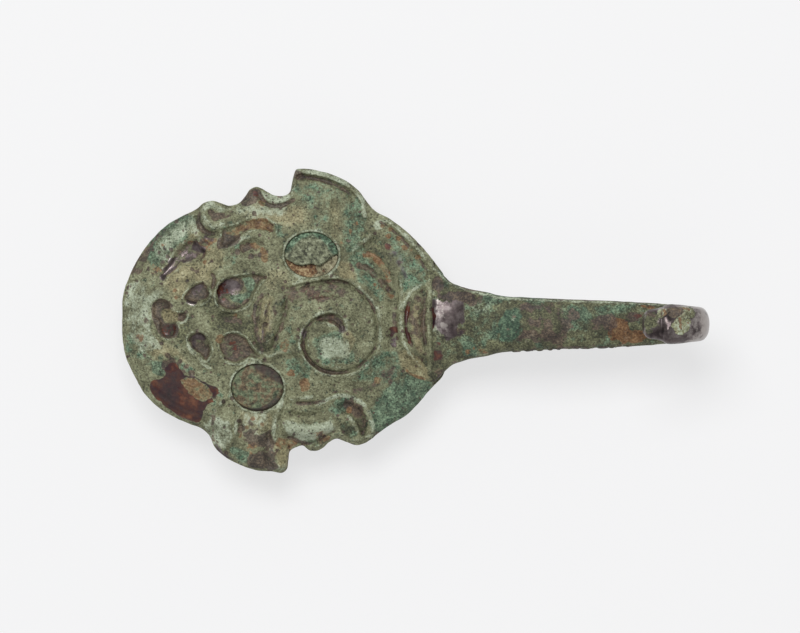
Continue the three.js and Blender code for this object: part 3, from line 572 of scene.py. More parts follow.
patch("tan", (435, -104, 487, -104, 494, -208, 455, -245, 429, -178), 0.9)
cell((227, 0, 279, 45, 351, 52, 409, 22, 442, -37, 429, -89, 390, -67, 338, -22, 279, -22), 0.5, 0.0)
patch("soil", (273, 15, 338, 30, 396, -7, 377, -37, 325, -7, 279, -15), 0.62, 0.3)
patch("worn", (390, -7, 435, -45, 435, -89, 396, -67), 0.55, 0.3)
patch("worn", (169, -59, 201, -30, 195, -104, 169, -149), 0.6, 0.3)

# The muzzle with its three-lobed nose, and the drops and commas behind it
stroke((
    -715, 223, -793, 193, -845, 119, -858, 15, -838, -104, -786, -186, -702, -223,
), muzzle_brink, ("pale", 0.9, 0.75))
cell((
    -812, 104, -786, 156, -734, 156, -689, 126, -689, 82, -643, 59, -598, 59, -585, 22, -611, -7, -650, -15,
    -650, -74, -689, -134, -734, -134, -767, -74, -767, -15, -806, 15,
), 0.75, 0.12, share=0.95)
nose_scab = -747, 82, -689, 97, -650, 52, -650, 0, -702, -22, -747, 15
clear_patch("dark", nose_scab)
patch("tan", nose_scab, 0.8, 0.3)
patch("olive", nose_scab, 0.8, 0.3)
patch("red", (-747, -45, -669, -30, -656, -82, -696, -134, -734, -126), 0.62, 0.4)
cell((
    -611, 156, -585, 215, -546, 260, -500, 282, -461, 267, -442, 223, -448, 163, -487, 119, -539, 111,
    -585, 126,
), 0.7, 0.32)
patch("worn", (-559, 223, -513, 267, -487, 253, -500, 193, -539, 163), 0.56, 0.3)
stroke((-598, 149, -559, 126, -513, 126), thin, ("worn", 0.4, 0.9))
stroke((-455, 342, -416, 327, -416, 267, -429, 208), crease, ("dark", 0.55, 0.9))
cell((
    -585, -126, -559, -97, -507, -89, -468, -104, -442, -149, -429, -223, -442, -275, -461, -305,
    -494, -267, -533, -230, -572, -178,
), 0.7, 0.32)
patch("worn", (-566, -119, -481, -111, -455, -149, -507, -156, -539, -201, -559, -163), 0.72, 0.3)
stroke((-592, -163, -559, -230, -513, -290, -461, -342, -416, -364), thin, ("pale", 0.4, 0.6))
cell((
    -396, 149, -396, 215, -370, 275, -319, 319, -247, 334, -169, 342, -104, 342, -71, 319, -104, 282,
    -136, 223, -163, 156, -201, 104, -260, 74, -325, 74, -377, 104,
), 0.75, 0.34)
patch("worn", (-351, 282, -260, 305, -234, 238, -273, 193, -351, 208, -377, 149, -384, 223), 0.66, 0.3)
patch("red", (-384, 178, -384, 253, -344, 282, -325, 223, -338, 149, -364, 119), 0.55, 0.5)
green_end = -234, 312, -169, 319, -149, 253, -182, 163, -247, 126, -312, 171, -247, 186, -195, 223
clear_patch("dark", green_end)
patch("green", green_end, 0.8, 0.3)
cell((
    -370, -238, -377, -171, -351, -119, -312, -97, -260, -97, -208, -126, -169, -186, -130, -238, -78, -267,
    -130, -290, -182, -282, -227, -312, -279, -319, -331, -305,
), 0.6, 0.25, share=0.68)
stroke((-338, -149, -286, -126, -234, -149, -201, -208, -182, -253), scratch, ("dark", 0.4, 0.6))
patch("soil", (-384, -104, -357, -104, -357, -156, -384, -156), 0.8, 0.2)
patch("red", (-312, -171, -273, -171, -273, -215, -312, -215), 0.6, 0.3)
patch("soil", (-286, -223, -214, -223, -221, -290, -286, -282), 0.6, 0.4)
stroke((-377, -7, -325, 7, -260, -7, -227, -45), trough, ("dark", 0.8, 0.68))

# The brow and cheek bands, the pit between them and the scroll at the upper left
cell((
    -767, 334, -734, 386, -696, 446, -663, 505, -604, 565, -566, 594, -520, 572, -481, 527, -442, 505,
    -461, 475, -507, 431, -572, 438, -624, 409, -663, 371, -702, 334, -741, 312,
), 0.5, 0.12, share=0.5)
patch("worn", (-747, 357, -702, 416, -676, 461, -624, 475, -637, 416, -689, 364, -728, 327), 0.6, 0.3)
patch("worn", (
    -637, 461, -598, 535, -552, 579, -500, 572, -468, 520, -513, 475, -559, 431, -611, 409,
), 0.53, 0.5)
patch("soil", (-598, 587, -539, 602, -468, 550, -442, 505, -507, 475, -572, 520), 0.55, 0.4)
patch("dark", (-663, 490, -572, 565, -468, 520, -481, 461, -559, 438, -637, 431), 0.6, 0.4)
cell((
    -364, 676, -312, 698, -260, 713, -214, 743, -149, 750, -65, 743, -19, 713, -6, 676, -26, 639, -52, 654,
    -104, 669, -182, 661, -240, 609, -286, 565, -338, 542, -370, 550, -364, 609,
), 0.6, 0.2, share=0.62)
patch("soil", (
    -338, 639, -273, 698, -182, 743, -65, 735, -19, 698, -26, 654, -104, 676, -195, 661, -260, 624,
), 0.72, 0.4)
patch("green", (-13, 713, 39, 698, 33, 624, -13, 639), 0.8, 0.4)
patch("dark", (-370, 594, -273, 624, -247, 594, -312, 542, -370, 542), 0.95, 0.3)
stroke((-240, 505, -201, 535, -156, 550, -123, 520), trough, ("dark", 0.55, 0.9))
patch("soil", (-195, 565, -136, 572, -117, 535, -169, 535), 0.75, 0.3)
patch("soil", (-104, 535, -65, 505, -58, 431, -91, 431), 0.72, 0.3)
stroke((-377, 431, -286, 475, -208, 461, -130, 431, -78, 371), low_cheek)
stroke((-325, 505, -247, 587, -143, 624, -52, 609, 13, 550), low_brow)
stroke((-338, 735, -409, 698, -468, 743, -474, 817, -442, 854), band)
stroke((-513, 810, -513, 735, -487, 676, -442, 639, -370, 646), crease, ("dark", 0.55, 0.95))
stroke((-448, 825, -416, 787, -357, 773, -273, 810), trough, ("dark", 0.62, 0.95))
stroke((-566, 787, -552, 713, -533, 639, -487, 572), band, ("pale", 0.4, 0.5))
patch("worn", (-474, 654, -429, 646, -416, 594, -455, 594, -481, 617), 0.6, 0.3)
patch("soil", (-468, 609, -403, 602, -429, 572, -468, 579), 0.7, 0.3)

# The flange along the top notch, with a dark crease at its foot, and the two round hollows beside the ear
stroke((
    -247, 832, -201, 899, -169, 951, -130, 958, -104, 899, -58, 854, 19, 847, 91, 884, 136, 914,
), crease, ("dark", 0.5, 0.95))
patch("dark", (-234, 862, -195, 951, -143, 973, -117, 936, -149, 891, -208, 847), 0.9, 0.3)
patch("pale", (-104, 958, -39, 921, 39, 914, 91, 936, 91, 899, 13, 869, -52, 877, -97, 914), 0.8, 0.3)
patch("pale", (-500, 847, -435, 877, -364, 847, -286, 832, -351, 802, -429, 832), 0.6, 0.3)
patch("red", (-156, 958, -130, 951, -130, 921, -156, 929), 0.7, 0.2)
patch("soil", (-104, 891, -78, 884, -84, 847, -111, 854), 0.7, 0.2)

# The upper ear lobe: a rolled lip about a dished, speckled surface
stroke((
    104, 995, 104, 1077, 136, 1107, 195, 1107, 286, 1085, 390, 1047, 481, 988, 533, 929,
), ear_lip, ("pale", 0.5, 0.7))
stroke((136, 1062, 214, 1055, 312, 1033, 403, 988, 474, 929, 513, 869), crease, ("dark", 0.5, 0.6))
stroke((520, 943, 552, 884, 559, 810, 572, 750), thin, ("pale", 0.5, 0.9))
patch("dark", (104, 1099, 163, 1099, 169, 1047, 117, 1040), 0.7, 0.3)
ear_strip = 338, 906, 403, 906, 416, 780, 403, 594, 351, 594, 338, 743
patch("tan", ear_strip, 0.5, 0.8)
patch("olive", ear_strip, 0.6, 0.8)
stroke((384, 891, 390, 780, 384, 654), trough)
patch("green", (117, 1010, 273, 1010, 338, 921, 312, 698, 182, 728, 123, 891), 0.5, 1.2)
patch("green", (435, 966, 546, 891, 546, 594, 481, 431, 435, 594), 0.58, 1.2)
stroke((468, 475, 520, 550, 572, 594, 624, 654), band)

# The right field: a slanted tan ridge over a dark groove, and spots of rust-coloured soil
stroke((533, 490, 604, 483, 663, 431, 709, 357, 734, 267), lean_left, ("soil", 0.75, 0.66))
stroke((552, 475, 611, 475, 663, 423, 709, 349, 728, 282), flat, ("tan", 0.6, 1.0))
stroke((500, 423, 572, 386, 650, 319, 709, 238, 754, 178), crease, ("dark", 0.75, 0.6))
stroke((806, 357, 806, 223, 799, 74, 799, -74), lean_right, ("pale", 0.5, 0.42))
stroke((754, 149, 760, 37, 760, -74, 747, -186), trough, ("dark", 0.6, 0.62))
patch("red", (702, -74, 767, -45, 786, -134, 754, -208, 715, -163), 0.62, 0.4)
patch("green", (435, 594, 546, 550, 637, 334, 689, 149, 611, 178, 507, 327), 0.62, 1.0)
patch("green", (689, 698, 819, 550, 923, 431, 949, 297, 832, 327, 754, 475), 0.6, 1.4)
patch("olive", (481, 891, 611, 728, 741, 520, 806, 297, 741, 149, 637, 297, 481, 431, 403, 594), 0.55, 1.6)
patch("soil", (715, 201, 760, 193, 767, 149, 721, 149), 0.75, 0.3)
dots("soil", (682, 698, 734, 676, 721, 624, 721, 542, 786, 609, 826, 535, 871, 520, 910, 468), 0.32)
patch("worn", (715, 550, 793, 505, 845, 371, 819, 282, 767, 357, 715, 461), 0.46, 0.8)
patch("red", (702, 572, 734, 572, 734, 520, 709, 520), 0.8, 0.3)
patch("pale", (637, 728, 689, 728, 689, 676, 637, 676), 0.8, 0.3)
patch("green", (546, -297, 689, -223, 793, -238, 793, -416, 663, -490, 559, -416), 0.6, 1.0)
patch("green", (
    689, -535, 819, -431, 975, -446, 1001, -520, 871, -698, 741, -802, 650, -877, 624, -683,
), 0.85, 1.4)
patch("olive", (
    663, -475, 819, -342, 975, -446, 1001, -520, 871, -698, 741, -802, 650, -877, 611, -683,
), 0.6, 1.4)
patch("dark", (
    481, -505, 572, -475, 663, -401, 741, -312, 767, -371, 689, -475, 572, -550, 481, -565,
), 0.5, 0.8)
stroke((643, 750, 734, 676, 812, 594, 890, 490, 962, 386, 1020, 282), scratch, ("dark", 0.35, 0.75))
stroke((663, 787, 754, 713, 838, 624, 916, 520, 988, 416, 1053, 305), thin, ("pale", 0.4, 0.6))
patch("soil", (630, -423, 676, -423, 676, -468, 637, -468), 0.75, 0.3)
patch("soil", (149, -446, 195, -453, 201, -513, 156, -520), 0.95, 0.3)
patch("soil", (26, -163, 78, -163, 71, -223, 26, -215), 0.6, 0.5)

# The collar: a lens between an arc and a straight lip, with a rib down its middle
stroke((
    975, 282, 890, 230, 838, 156, 806, 59, 799, -59, 826, -178, 884, -282, 975, -386,
), lean_right, ("pale", 0.3, 0.6), taper=8)
cell((
    968, 253, 897, 208, 851, 126, 826, 22, 826, -89, 858, -201, 910, -290, 975, -357, 981, -149, 975, 74,
), 0.5, 0.0, share=0.5)
stroke((916, 178, 897, 74, 890, -45, 910, -163, 949, -275), bold, ("tan", 0.8, 1.0))
stroke((955, 208, 949, 59, 949, -104, 968, -253), crease, ("dark", 0.5, 0.8))
stroke((858, 134, 838, 37, 838, -67, 864, -178), crease, ("red", 0.5, 0.9))
stroke((994, 327, 988, 186, 981, 0, 988, -186, 994, -401), collar_lip, ("pale", 0.24, 0.52), taper=8)
patch("tan", (793, -238, 877, -253, 988, -401, 988, -446, 897, -423, 806, -342), 0.9, 0.5)
stroke((819, -357, 884, -409, 981, -438), flat, ("soil", 0.35, 0.9))
patch("green", (806, 461, 949, 386, 988, 312, 858, 223, 806, 208), 0.6, 0.8)

# The lower ear lobe and the strap beside it
stroke((-319, -557, -384, -639, -422, -735, -435, -839), thin, ("pale", 0.4, 0.6))
stroke((-377, -631, -409, -706, -422, -787, -416, -862), crease, ("dark", 0.4, 0.6))
stroke((-247, -683, -267, -780, -267, -899), thin, ("pale", 0.4, 0.6))
stroke((-234, -735, -247, -817, -254, -899), crease, ("dark", 0.35, 0.7))
stroke((39, -587, -6, -683, -26, -795, -19, -914), band, ("pale", 0.5, 0.6))
stroke((-33, -728, -52, -817, -52, -906), crease, ("dark", 0.35, 0.6))
patch("pale", (-221, -698, -65, -698, -65, -862, -208, -891), 0.6, 0.5)
patch("tan", (-227, -698, -52, -698, -52, -832, -208, -891), 0.8, 0.8)
patch("dark", (-208, -758, -182, -743, -143, -802, -182, -891, -221, -921), 0.55, 0.3)
patch("dark", (-163, -877, -104, -847, -45, -817, -39, -936, -91, -943, -156, -936), 0.95, 0.3)
patch("soil", (-247, -936, -169, -921, -78, -951, -143, -995, -221, -981), 0.5, 0.6)
patch("dark", (-182, -1010, -104, -966, -39, -981, -6, -1092, -104, -1107, -195, -1077), 0.95, 0.4)
patch("green", (-319, -951, -169, -981, -169, -1055, -247, -1047), 0.8, 0.5)
stroke((-26, -936, -39, -1010, -6, -1085, 52, -1107), bold, ("pale", 0.6, 0.62))
patch("tan", (6, -891, 78, -891, 65, -1070, 13, -1085, -6, -966), 0.85, 0.5)
patch("worn", (-403, -921, -351, -981, -273, -1040, -338, -1025, -396, -966), 0.7, 0.3)

# The lower scroll: a smooth band with a ragged lip, and a hooked crest about a dark scoop
stroke((26, -773, 117, -810, 221, -817, 312, -795, 384, -743), bold, ("pale", 1.2, 1.0))
stroke((45, -683, 130, -706, 221, -706, 312, -676), crease, ("dark", 0.45, 0.4))
stroke((123, -617, 195, -617, 260, -609, 319, -594), scratch, ("dark", 0.4, 0.8))
stroke((65, -579, 143, -572, 247, -565), band)
stroke((
    234, -639, 286, -609, 351, -572, 435, -557, 513, -587, 572, -646, 604, -728, 617, -817, 585, -891,
), lean_left, ("pale", 0.45, 0.75), taper=8)
cell((
    364, -631, 435, -594, 513, -624, 566, -683, 592, -773, 579, -862, 539, -869, 513, -795, 468, -721,
    409, -683,
), 0.7, 0.0, wall=0.6, floor="olive", share=1.0)
stroke((455, -713, 494, -765, 526, -832), thin, ("pale", 0.3, 0.6))
patch("dark", (442, -602, 507, -617, 546, -676, 533, -713, 481, -676, 442, -654), 0.85, 0.3)
patch("dark", (507, -683, 552, -698, 579, -787, 559, -847, 533, -802, 507, -728), 0.52, 0.3)
patch("soil", (455, -646, 481, -646, 481, -676, 455, -676), 0.8, 0.2)
scoop_floor = 403, -773, 468, -773, 507, -847, 468, -877, 416, -839
patch("olive", scoop_floor, 1.0, 0.3)
patch("green", scoop_floor, 0.5, 0.3)
patch("green", (364, -594, 455, -579, 481, -639, 403, -683, 338, -683), 0.7, 0.5)
stroke((
    19, -891, 78, -869, 136, -899, 201, -914, 260, -899, 312, -854, 384, -810,
), crease, ("dark", 0.35, 0.8))
patch("soil", (13, -877, 130, -906, 78, -951, 6, -936), 0.55, 0.4)
patch("soil", (247, -847, 325, -817, 351, -869, 273, -929), 0.6, 0.4)
patch("green", (195, -869, 260, -877, 260, -943, 195, -921), 0.7, 0.4)

# Pale crust along the notches and the scroll, and olive ground about the nose and the middle
patch("pale", (-273, 854, -143, 847, 39, 877, 52, 795, -156, 773, -273, 795), 0.66, 1.2)
patch("pale", (-585, 773, -507, 787, -468, 713, -520, 639, -585, 683), 0.55, 1.0)
patch("pale", (-481, -773, -377, -713, -299, -802, -325, -936, -429, -906), 0.6, 1.0)
patch("pale", (39, -773, 143, -802, 260, -802, 351, -758, 338, -847, 208, -884, 78, -854), 0.9, 0.6)
patch("olive", (-227, -15, -104, 15, -39, -104, -65, -238, -169, -193), 0.9, 1.2)
patch("olive", (-676, 45, -611, 74, -559, -30, -598, -178, -663, -134), 0.9, 1.0)
patch("olive", (-481, 178, -416, 163, -377, 74, -429, 15, -487, 74), 1.0, 0.8)

# The dark ground about the nose, and dots of dark crust, soil and bare metal
patch("dark", (
    -806, 126, -754, 163, -689, 134, -676, 97, -741, 82, -754, -15, -663, -30, -637, -82, -689, -141,
    -754, -119, -793, -30, -819, 59,
), 0.9, 0.3)
dots("dark", (-767, 505, -734, 527, -715, 475, -747, 431, -689, 520, -533, 572, -487, 587), 0.32)
dots("worn", (-689, 431, -721, 379, -741, 319, -533, 542, -487, 520), 0.5, 0.8)
dots("dark", (
    -247, -743, -227, -802, -208, -854, -169, -773, -130, -810, -104, -862, -182, -869, -143, -914,
), 0.3)
dots("soil", (
    -163, -728, -195, -795, -97, -773, -247, -869, -143, -936, -650, 171, -663, 223, -468, 431,
), 0.28)
dots("dark", (-227, 542, -189, 557, -143, 535, -111, 483, -260, 505, -169, 475), 0.35)

# The bare red-brown patch at the lower left, with a scab of soil on it
patch("red", (
    -819, -446, -734, -423, -721, -357, -676, -312, -630, -364, -598, -409, -526, -431, -396, -527,
    -422, -587, -468, -639, -481, -706, -520, -758, -611, -721, -702, -661, -773, -579, -826, -513,
), 1.0, 0.25)
patch("dark", (-747, -297, -689, -282, -637, -357, -689, -386, -741, -357), 0.85, 0.3)
patch("tan", (-845, -178, -767, -149, -663, -223, -598, -312, -689, -267, -806, -282), 0.75, 1.2)
dots("dark", (-566, -386, -409, -565, -598, -416), 0.3)
dots("dark", (-682, -297, -630, -305, -592, -342, -611, -386, -566, -401, -663, -342, -709, -260), 0.34)
dots("green", (-650, -275, -611, -327, -572, -364, -760, -275), 0.36)
dots("dark", (-793, -505, -773, -535, -416, -527), 0.4)
soil_scab = -624, -446, -539, -438, -442, -505, -416, -565, -468, -594, -552, -557, -611, -490
clear_patch("red", soil_scab, 0.2)
patch("soil", soil_scab, 0.72, 0.2)
patch("green", (-812, -312, -741, -305, -715, -371, -754, -416, -812, -394), 0.9, 0.3)
patch("green", (
    -832, 624, -728, 728, -611, 787, -533, 773, -559, 654, -663, 550, -767, 401, -832, 431,
), 0.78, 0.8)
patch("pale", (
    -988, 149, -936, 297, -845, 267, -845, 149, -858, -74, -780, -208, -897, -223, -975, -74,
), 0.58, 0.8)
patch("pale", (-806, 565, -715, 683, -611, 743, -572, 698, -663, 565, -754, 431), 0.6, 1.2)
patch("olive", (-429, 59, -247, 45, -182, -59, -299, -89, -429, -74), 0.85, 1.0)
patch("tan", (
    -728, 386, -572, 431, -422, 386, -429, 267, -572, 282, -611, 163, -663, 163, -715, 253,
), 0.75, 1.2)
patch("tan", (-533, 520, -429, 535, -338, 505, -351, 386, -468, 386, -520, 431), 0.6, 1.0)
patch("tan", (-572, 713, -520, 698, -507, 609, -559, 594), 0.7, 0.8)
patch("tan", (-247, 802, -143, 862, 13, 839, 182, 847, 182, 728, 65, 706, -65, 743, -182, 773), 0.75, 1.4)
patch("tan", (-78, 371, 65, 371, 65, 238, -65, 223), 0.5, 1.0)
patch("tan", (390, 423, 468, 423, 507, 319, 429, 297), 0.8, 0.6)
patch("dark", (
    -962, 401, -903, 461, -838, 572, -760, 661, -702, 691, -767, 594, -845, 475, -890, 342, -943, 327,
), 0.62, 0.3)
patch("soil", (-943, -104, -877, -104, -871, -171, -936, -163), 0.5, 0.4)
patch("green", (78, -297, 182, -282, 221, -386, 143, -431, 78, -401), 0.6, 0.6)
patch("dark", (143, 149, 175, 149, 175, 111, 143, 111), 0.5, 0.3)

# The outline, with the border that falls away along the left side and the thin broken flanges
plate_outline = shares_of((
    1100, 240, 1080, 335, 1025, 425, 935, 550, 830, 667, 720, 760, 632, 815, 587, 870, 537, 950, 473, 1015,
    375, 1073, 263, 1112, 161, 1126, 121, 1120, 102, 1065, 90, 1000, 80, 955, 50, 928, -10, 925, -61, 950,
    -101, 978, -140, 993, -180, 972, -213, 920, -253, 870, -314, 851, -363, 868, -424, 888, -480, 872,
    -532, 824, -610, 780, -708, 718, -802, 622, -891, 490, -960, 340, -1005, 193, -1012, 10, -1010, -141,
    -981, -296, -926, -427, -866, -547, -768, -655, -665, -726, -562, -776, -491, -808, -445, -858,
    -416, -933, -353, -1008, -250, -1072, -141, -1116, -40, -1124, 30, -1133, 60, -1106, 70, -1041,
    80, -975, 122, -943, 162, -932, 204, -966, 253, -972, 294, -951, 333, -908, 384, -881, 449, -907,
    515, -929, 583, -905, 647, -849, 735, -776, 837, -706, 913, -622, 994, -512, 1070, -420, 1100, -330,
    1110, -150, 1120, 0, 1110, 130,
))
border_step, border_lip = 0.5, 0.55
edge_reach = on_plate(smooth_curve(plate_outline, 900, closed=True)) - plate_middle
edge_turn = np.arctan2(edge_reach[:, 1], edge_reach[:, 0])
by_turn = np.argsort(edge_turn)
edge_turn, edge_far = edge_turn[by_turn], np.linalg.norm(edge_reach, axis=1)[by_turn]
edge_slope = np.gradient(edge_far) / np.maximum(np.gradient(edge_turn), 1e-4)
square_share = np.maximum(0.35, edge_far / np.hypot(edge_far, edge_slope))
plan_turn = np.arctan2(plan_y - plate_middle[1], plan_x - plate_middle[0])
edge_gap = np.interp(plan_turn, edge_turn, edge_far, period=2 * np.pi)
edge_gap -= np.linalg.norm(plan - plate_middle, axis=2)
edge_depth = edge_gap * np.interp(plan_turn, edge_turn, square_share, period=2 * np.pi)
left_side = ramp(along_share, -0.1, -0.5)
border = border_step * ramp(edge_depth, 1.9, 0.9) * left_side + border_lip * ramp(edge_depth, 0.75, 0.0)

# The neck's shoulders pass behind the collar's lip, where the plate's face drops to the shaft
drop_behind_lip = 1.5
behind_lip = ramp(plan_x, 17.15, 17.55)
relief_height = raised_by - sunk_by - border
relief_height = relief_height * (1 - behind_lip) - drop_behind_lip * behind_lip

# Weathering: slow and quick unevenness, and round corrosion pits with a dark floor, fewer of them large
pit_count = 700
pit_least, pit_range = 0.11, 0.26
pit_steepness = 0.45
pit_squares = 6
weathering = 0.07 * crust(plan_points, 2.2) + 0.05 * crust(plan_points + 50, 0.9, 2)
chance = np.random.default_rng(41)
pit_places = chance.uniform(plan_reach[0], plan_reach[1], (pit_count, 2))
pit_sizes = pit_least + pit_range * chance.random(pit_count)**3
for (x, y), size in zip(pit_places, pit_sizes):
    i, j = ((np.array([x, y]) - plan_reach[0]) / plan_step).astype(int)
    window = tuple(slice(max(k - pit_squares, 0), k + pit_squares + 1) for k in (i, j))
    bowl = np.clip(1 - ((plan_x[window] - x)**2 + (plan_y[window] - y)**2) / size**2, 0, 1)
    weathering[window] -= pit_steepness * size * bowl
    at_least(coats["dark"], window, 0.75 * (bowl > 0.2))
calm = 1 - 0.8 * np.maximum(coats["worn"], coats["red"])
plate_height = face + relief_height + weathering * calm

# The round cells' pockets and rims, each in a frame of its own
cell_half_length = 3.75
cell_half_width = 3.4
cell_wall = 0.5
cell_wall_rise = 0.3
cell_wall_foot = 0.8
pocket_draft = 0.06
bed_thickness = 0.35
inlay_thickness = 0.4
inlay_dome = 0.2
inlay_clearance = 0.12
inlay_top = cell_wall_rise / 2
inlay_base = inlay_top - inlay_thickness - inlay_dome
bed_top = inlay_base - inlay_clearance
bed_base = bed_top - bed_thickness
inlay_inset = cell_wall / 2 + inlay_clearance / 2
pocket_floor = bed_base - inlay_clearance
upper_cell = [0.22, 0.485], (1, 0.94)
lower_cell = [-0.13, -0.5], (0.97, 0.97)


def read_plan(field, x, y):
    """The field at places between the plan's squares: its four nearest values, mixed by how near each is."""
    u = np.clip((x - plan_reach[0, 0]) / plan_step, 0, field.shape[0] - 1.001)
    v = np.clip((y - plan_reach[0, 1]) / plan_step, 0, field.shape[1] - 1.001)
    i, j = u.astype(int), v.astype(int)
    s, t = u - i, v - j
    return ((1 - s) * (1 - t) * field[i, j] + s * (1 - t) * field[i + 1, j]
            + (1 - s) * t * field[i, j + 1] + s * t * field[i + 1, j + 1])


def cell_frame(at):
    """A cell's middle on the face, and the tilt from +Z to its axis, which is square to the face over the
    cell's own length: R = I + K + K K / (1 + c), with K the cross product of both and c their cosine."""
    middle = on_plate(at)
    step = cell_half_length
    sides = [read_plan(face, middle[0] + dx, middle[1] + dy)
             for dx, dy in ((step, 0), (-step, 0), (0, step), (0, -step))]
    axis = np.array([(sides[1] - sides[0]) / (2 * step), (sides[3] - sides[2]) / (2 * step), 1])
    axis /= np.linalg.norm(axis)
    k = np.array([[0, 0, axis[0]], [0, 0, axis[1]], [-axis[0], -axis[1], 0]])
    return np.array([*middle, read_plan(face, *middle)]), np.eye(3) + k + k @ k / (1 + axis[2])


for at, size in (upper_cell, lower_cell):
    middle, tilt = cell_frame(at)
    away = plan - middle[:2]
    plane = -(away @ tilt[:2, 2]) / tilt[2, 2]
    local = np.dstack([away, plane]) @ tilt
    inset = cell_half_length - np.hypot(
        local[..., 0] / size[0], local[..., 1] * cell_half_length / (cell_half_width * size[1]))
    ring = np.interp(inset, [-cell_wall, 0, cell_wall / 2, cell_wall / 2 + pocket_draft],
                     [-cell_wall_foot, cell_wall_rise, cell_wall_rise, pocket_floor])
    cell_height = middle[2] + plane + ring
    with_rim = np.where(inset > -cell_wall, np.maximum(plate_height, cell_height), plate_height)
    plate_height = np.where(inset > cell_wall / 2, cell_height, with_rim)
    # In the pocket the dark coat is painted shade in the gap about the inlay, and just outside the wall the
    # pale coat is painted highlight on the rim
    in_pocket = ramp(inset, 0.2, 0.3)
    for coat in coats.values():
        coat *= 1 - in_pocket
    coats["dark"] += 0.8 * in_pocket
    at_least(coats["pale"], ..., 0.6 * ramp(inset, -0.3, 0.0) * (1 - in_pocket))


def softened(field, cells):
    """The mean of a field over a square of cells each way, from sums along both axes."""
    for axis in (0, 1):
        padded = np.pad(field, [(cells + 1, cells) if a == axis else (0, 0) for a in (0, 1)], mode="edge")
        total = np.cumsum(padded, axis=axis)
        width = 2 * cells + 1
        high = np.take(total, np.arange(width, total.shape[axis]), axis=axis)
        low = np.take(total, np.arange(0, total.shape[axis] - width), axis=axis)
        field = (high - low) / width
    return field


# Recesses hold dark corrosion, proud edges get a painted highlight in the pale coat, and broad patches of
# each crust lie over all of it
hollow = softened(plate_height, 7) - plate_height
held = 0.45 + 0.55 * blotches(plan_points, 2.4, -0.4, 0.3, 200)
at_least(coats["dark"], ..., 0.75 * ramp(hollow, 0.08, 0.3) * held)
at_least(coats["pale"], ..., 0.47 * ramp(-hollow, 0.06, 0.22))
coats["pale"] *= 1 - 0.35 * ramp(plan_x, 16.1, 16.5)
at_least(coats["green"], ..., 0.5 * blotches(plan_points, 6.0, 0.1, 0.6, 80))
at_least(coats["soil"], ..., 0.4 * blotches(plan_points, 2.6, 0.45, 0.8, 120))
coats["dark"] *= 1 - 0.9 * ramp(coats["soil"], 0.6, 0.8)
at_least(coats["olive"], ..., 0.6 * blotches(plan_points, 5.0, 0.0, 0.6, 160))

# The plate's skin: rings of its outline drawn in toward the middle, over the face, the edge and the back
plate_spokes = 640
mean_reach = 17
spoke_line = on_plate(smooth_curve(plate_outline, plate_spokes, closed=True))
out_of_true = 0.05 * noise(np.column_stack([spoke_line, np.zeros(plate_spokes)]), 0.9)
spoke_reach = spoke_line - plate_middle
spoke_reach *= 1 - np.abs(out_of_true[:, None]) / mean_reach
face_shares = np.concatenate([np.linspace(0.006, 0.94, 112), np.linspace(0.945, 0.993, 14)])
back_shares = np.linspace(0.02, 0.985, 14)
face_xy = plate_middle + face_shares[:, None, None] * spoke_reach
face_rings = np.dstack([face_xy, read_plan(plate_height, face_xy[..., 0], face_xy[..., 1])])
back_xy = plate_middle + back_shares[::-1, None, None] * spoke_reach
u, v = np.moveaxis((back_xy - plate_middle) / half_size, 2, 0)
back_dome = np.clip(1 - u * u - v * v, 0, None)**dome_fullness
back_height = edge_underside + plate_back_hollow * back_dome
boss_share = ramp(np.linalg.norm(back_xy, axis=2), seat_boss_radius + 0.5, seat_boss_radius - 0.7)
back_height = back_height * (1 - boss_share) + stem_top * boss_share
back_rings = np.dstack([back_xy, back_height])
back_rings[..., 2] += 0.06 * crust(back_rings, 2.5)
rim_top = read_plan(plate_height, *np.moveaxis(plate_middle + 0.99 * spoke_reach, 1, 0))
edge_rings = np.stack([
    np.column_stack([plate_middle + share * spoke_reach, rim_top * (1 - down) + edge_underside * down])
    for share, down in ((0.997, 0.12), (1.0, 0.35), (1.0, 0.7), (0.994, 0.95))
])
plate_rings = np.concatenate([face_rings, edge_rings, back_rings])
relief_plate = closed_skin("relief_plate", plate_rings)
is_back = np.arange(len(plate_rings))[:, None] >= len(face_shares) + 2
back_clouds = crust(plate_rings + 11, 3.5)
back_coats = {
    "dark": 0.6 * ramp(-back_clouds, 0.1, 0.6), "green": 0.7 * ramp(back_clouds, 0.0, 0.5),
    "soil": 0.7 * blotches(plate_rings, 2.2, 0.4, 0.7, 66),
    "olive": 0.7 * blotches(plate_rings, 5.0, -0.3, 0.3, 21),
}
plate_xy = plate_rings[..., 0], plate_rings[..., 1]
lay_on(relief_plate, {
    name: np.where(is_back, back_coats.get(name, 0), read_plan(field, *plate_xy))
    for name, field in coats.items()
})
relief_plate.data.materials.append(bronze_patina)
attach(relief_plate, "root")
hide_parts("hook_casting")

# Neck, shaft and hook: the same casting past the collar. The shaft arches a little, narrows, and turns back
# over itself in a hook that ends in an animal's head with ears, brow and snout, worn smooth by use and
# crusted on top. Crumbs of casting are left along its lower edge.

shaft_length = 30.6
shaft_width = 6.6
shaft_thickness = 2.75
shaft_arch = 3.1
hook_bend_radius = 4.2
hook_turn = math.radians(195)
head_length = 2.4
shaft_start = plate_middle[0] + plate_half_length
bend_x = shaft_start + shaft_length
bend_length = hook_turn * hook_bend_radius
hook_length = bend_length + head_length
shaft_rings, section_steps = 560, 144
mouth_depth = 0.22
crumb_height = 0.16
skin_allowance = 0.05

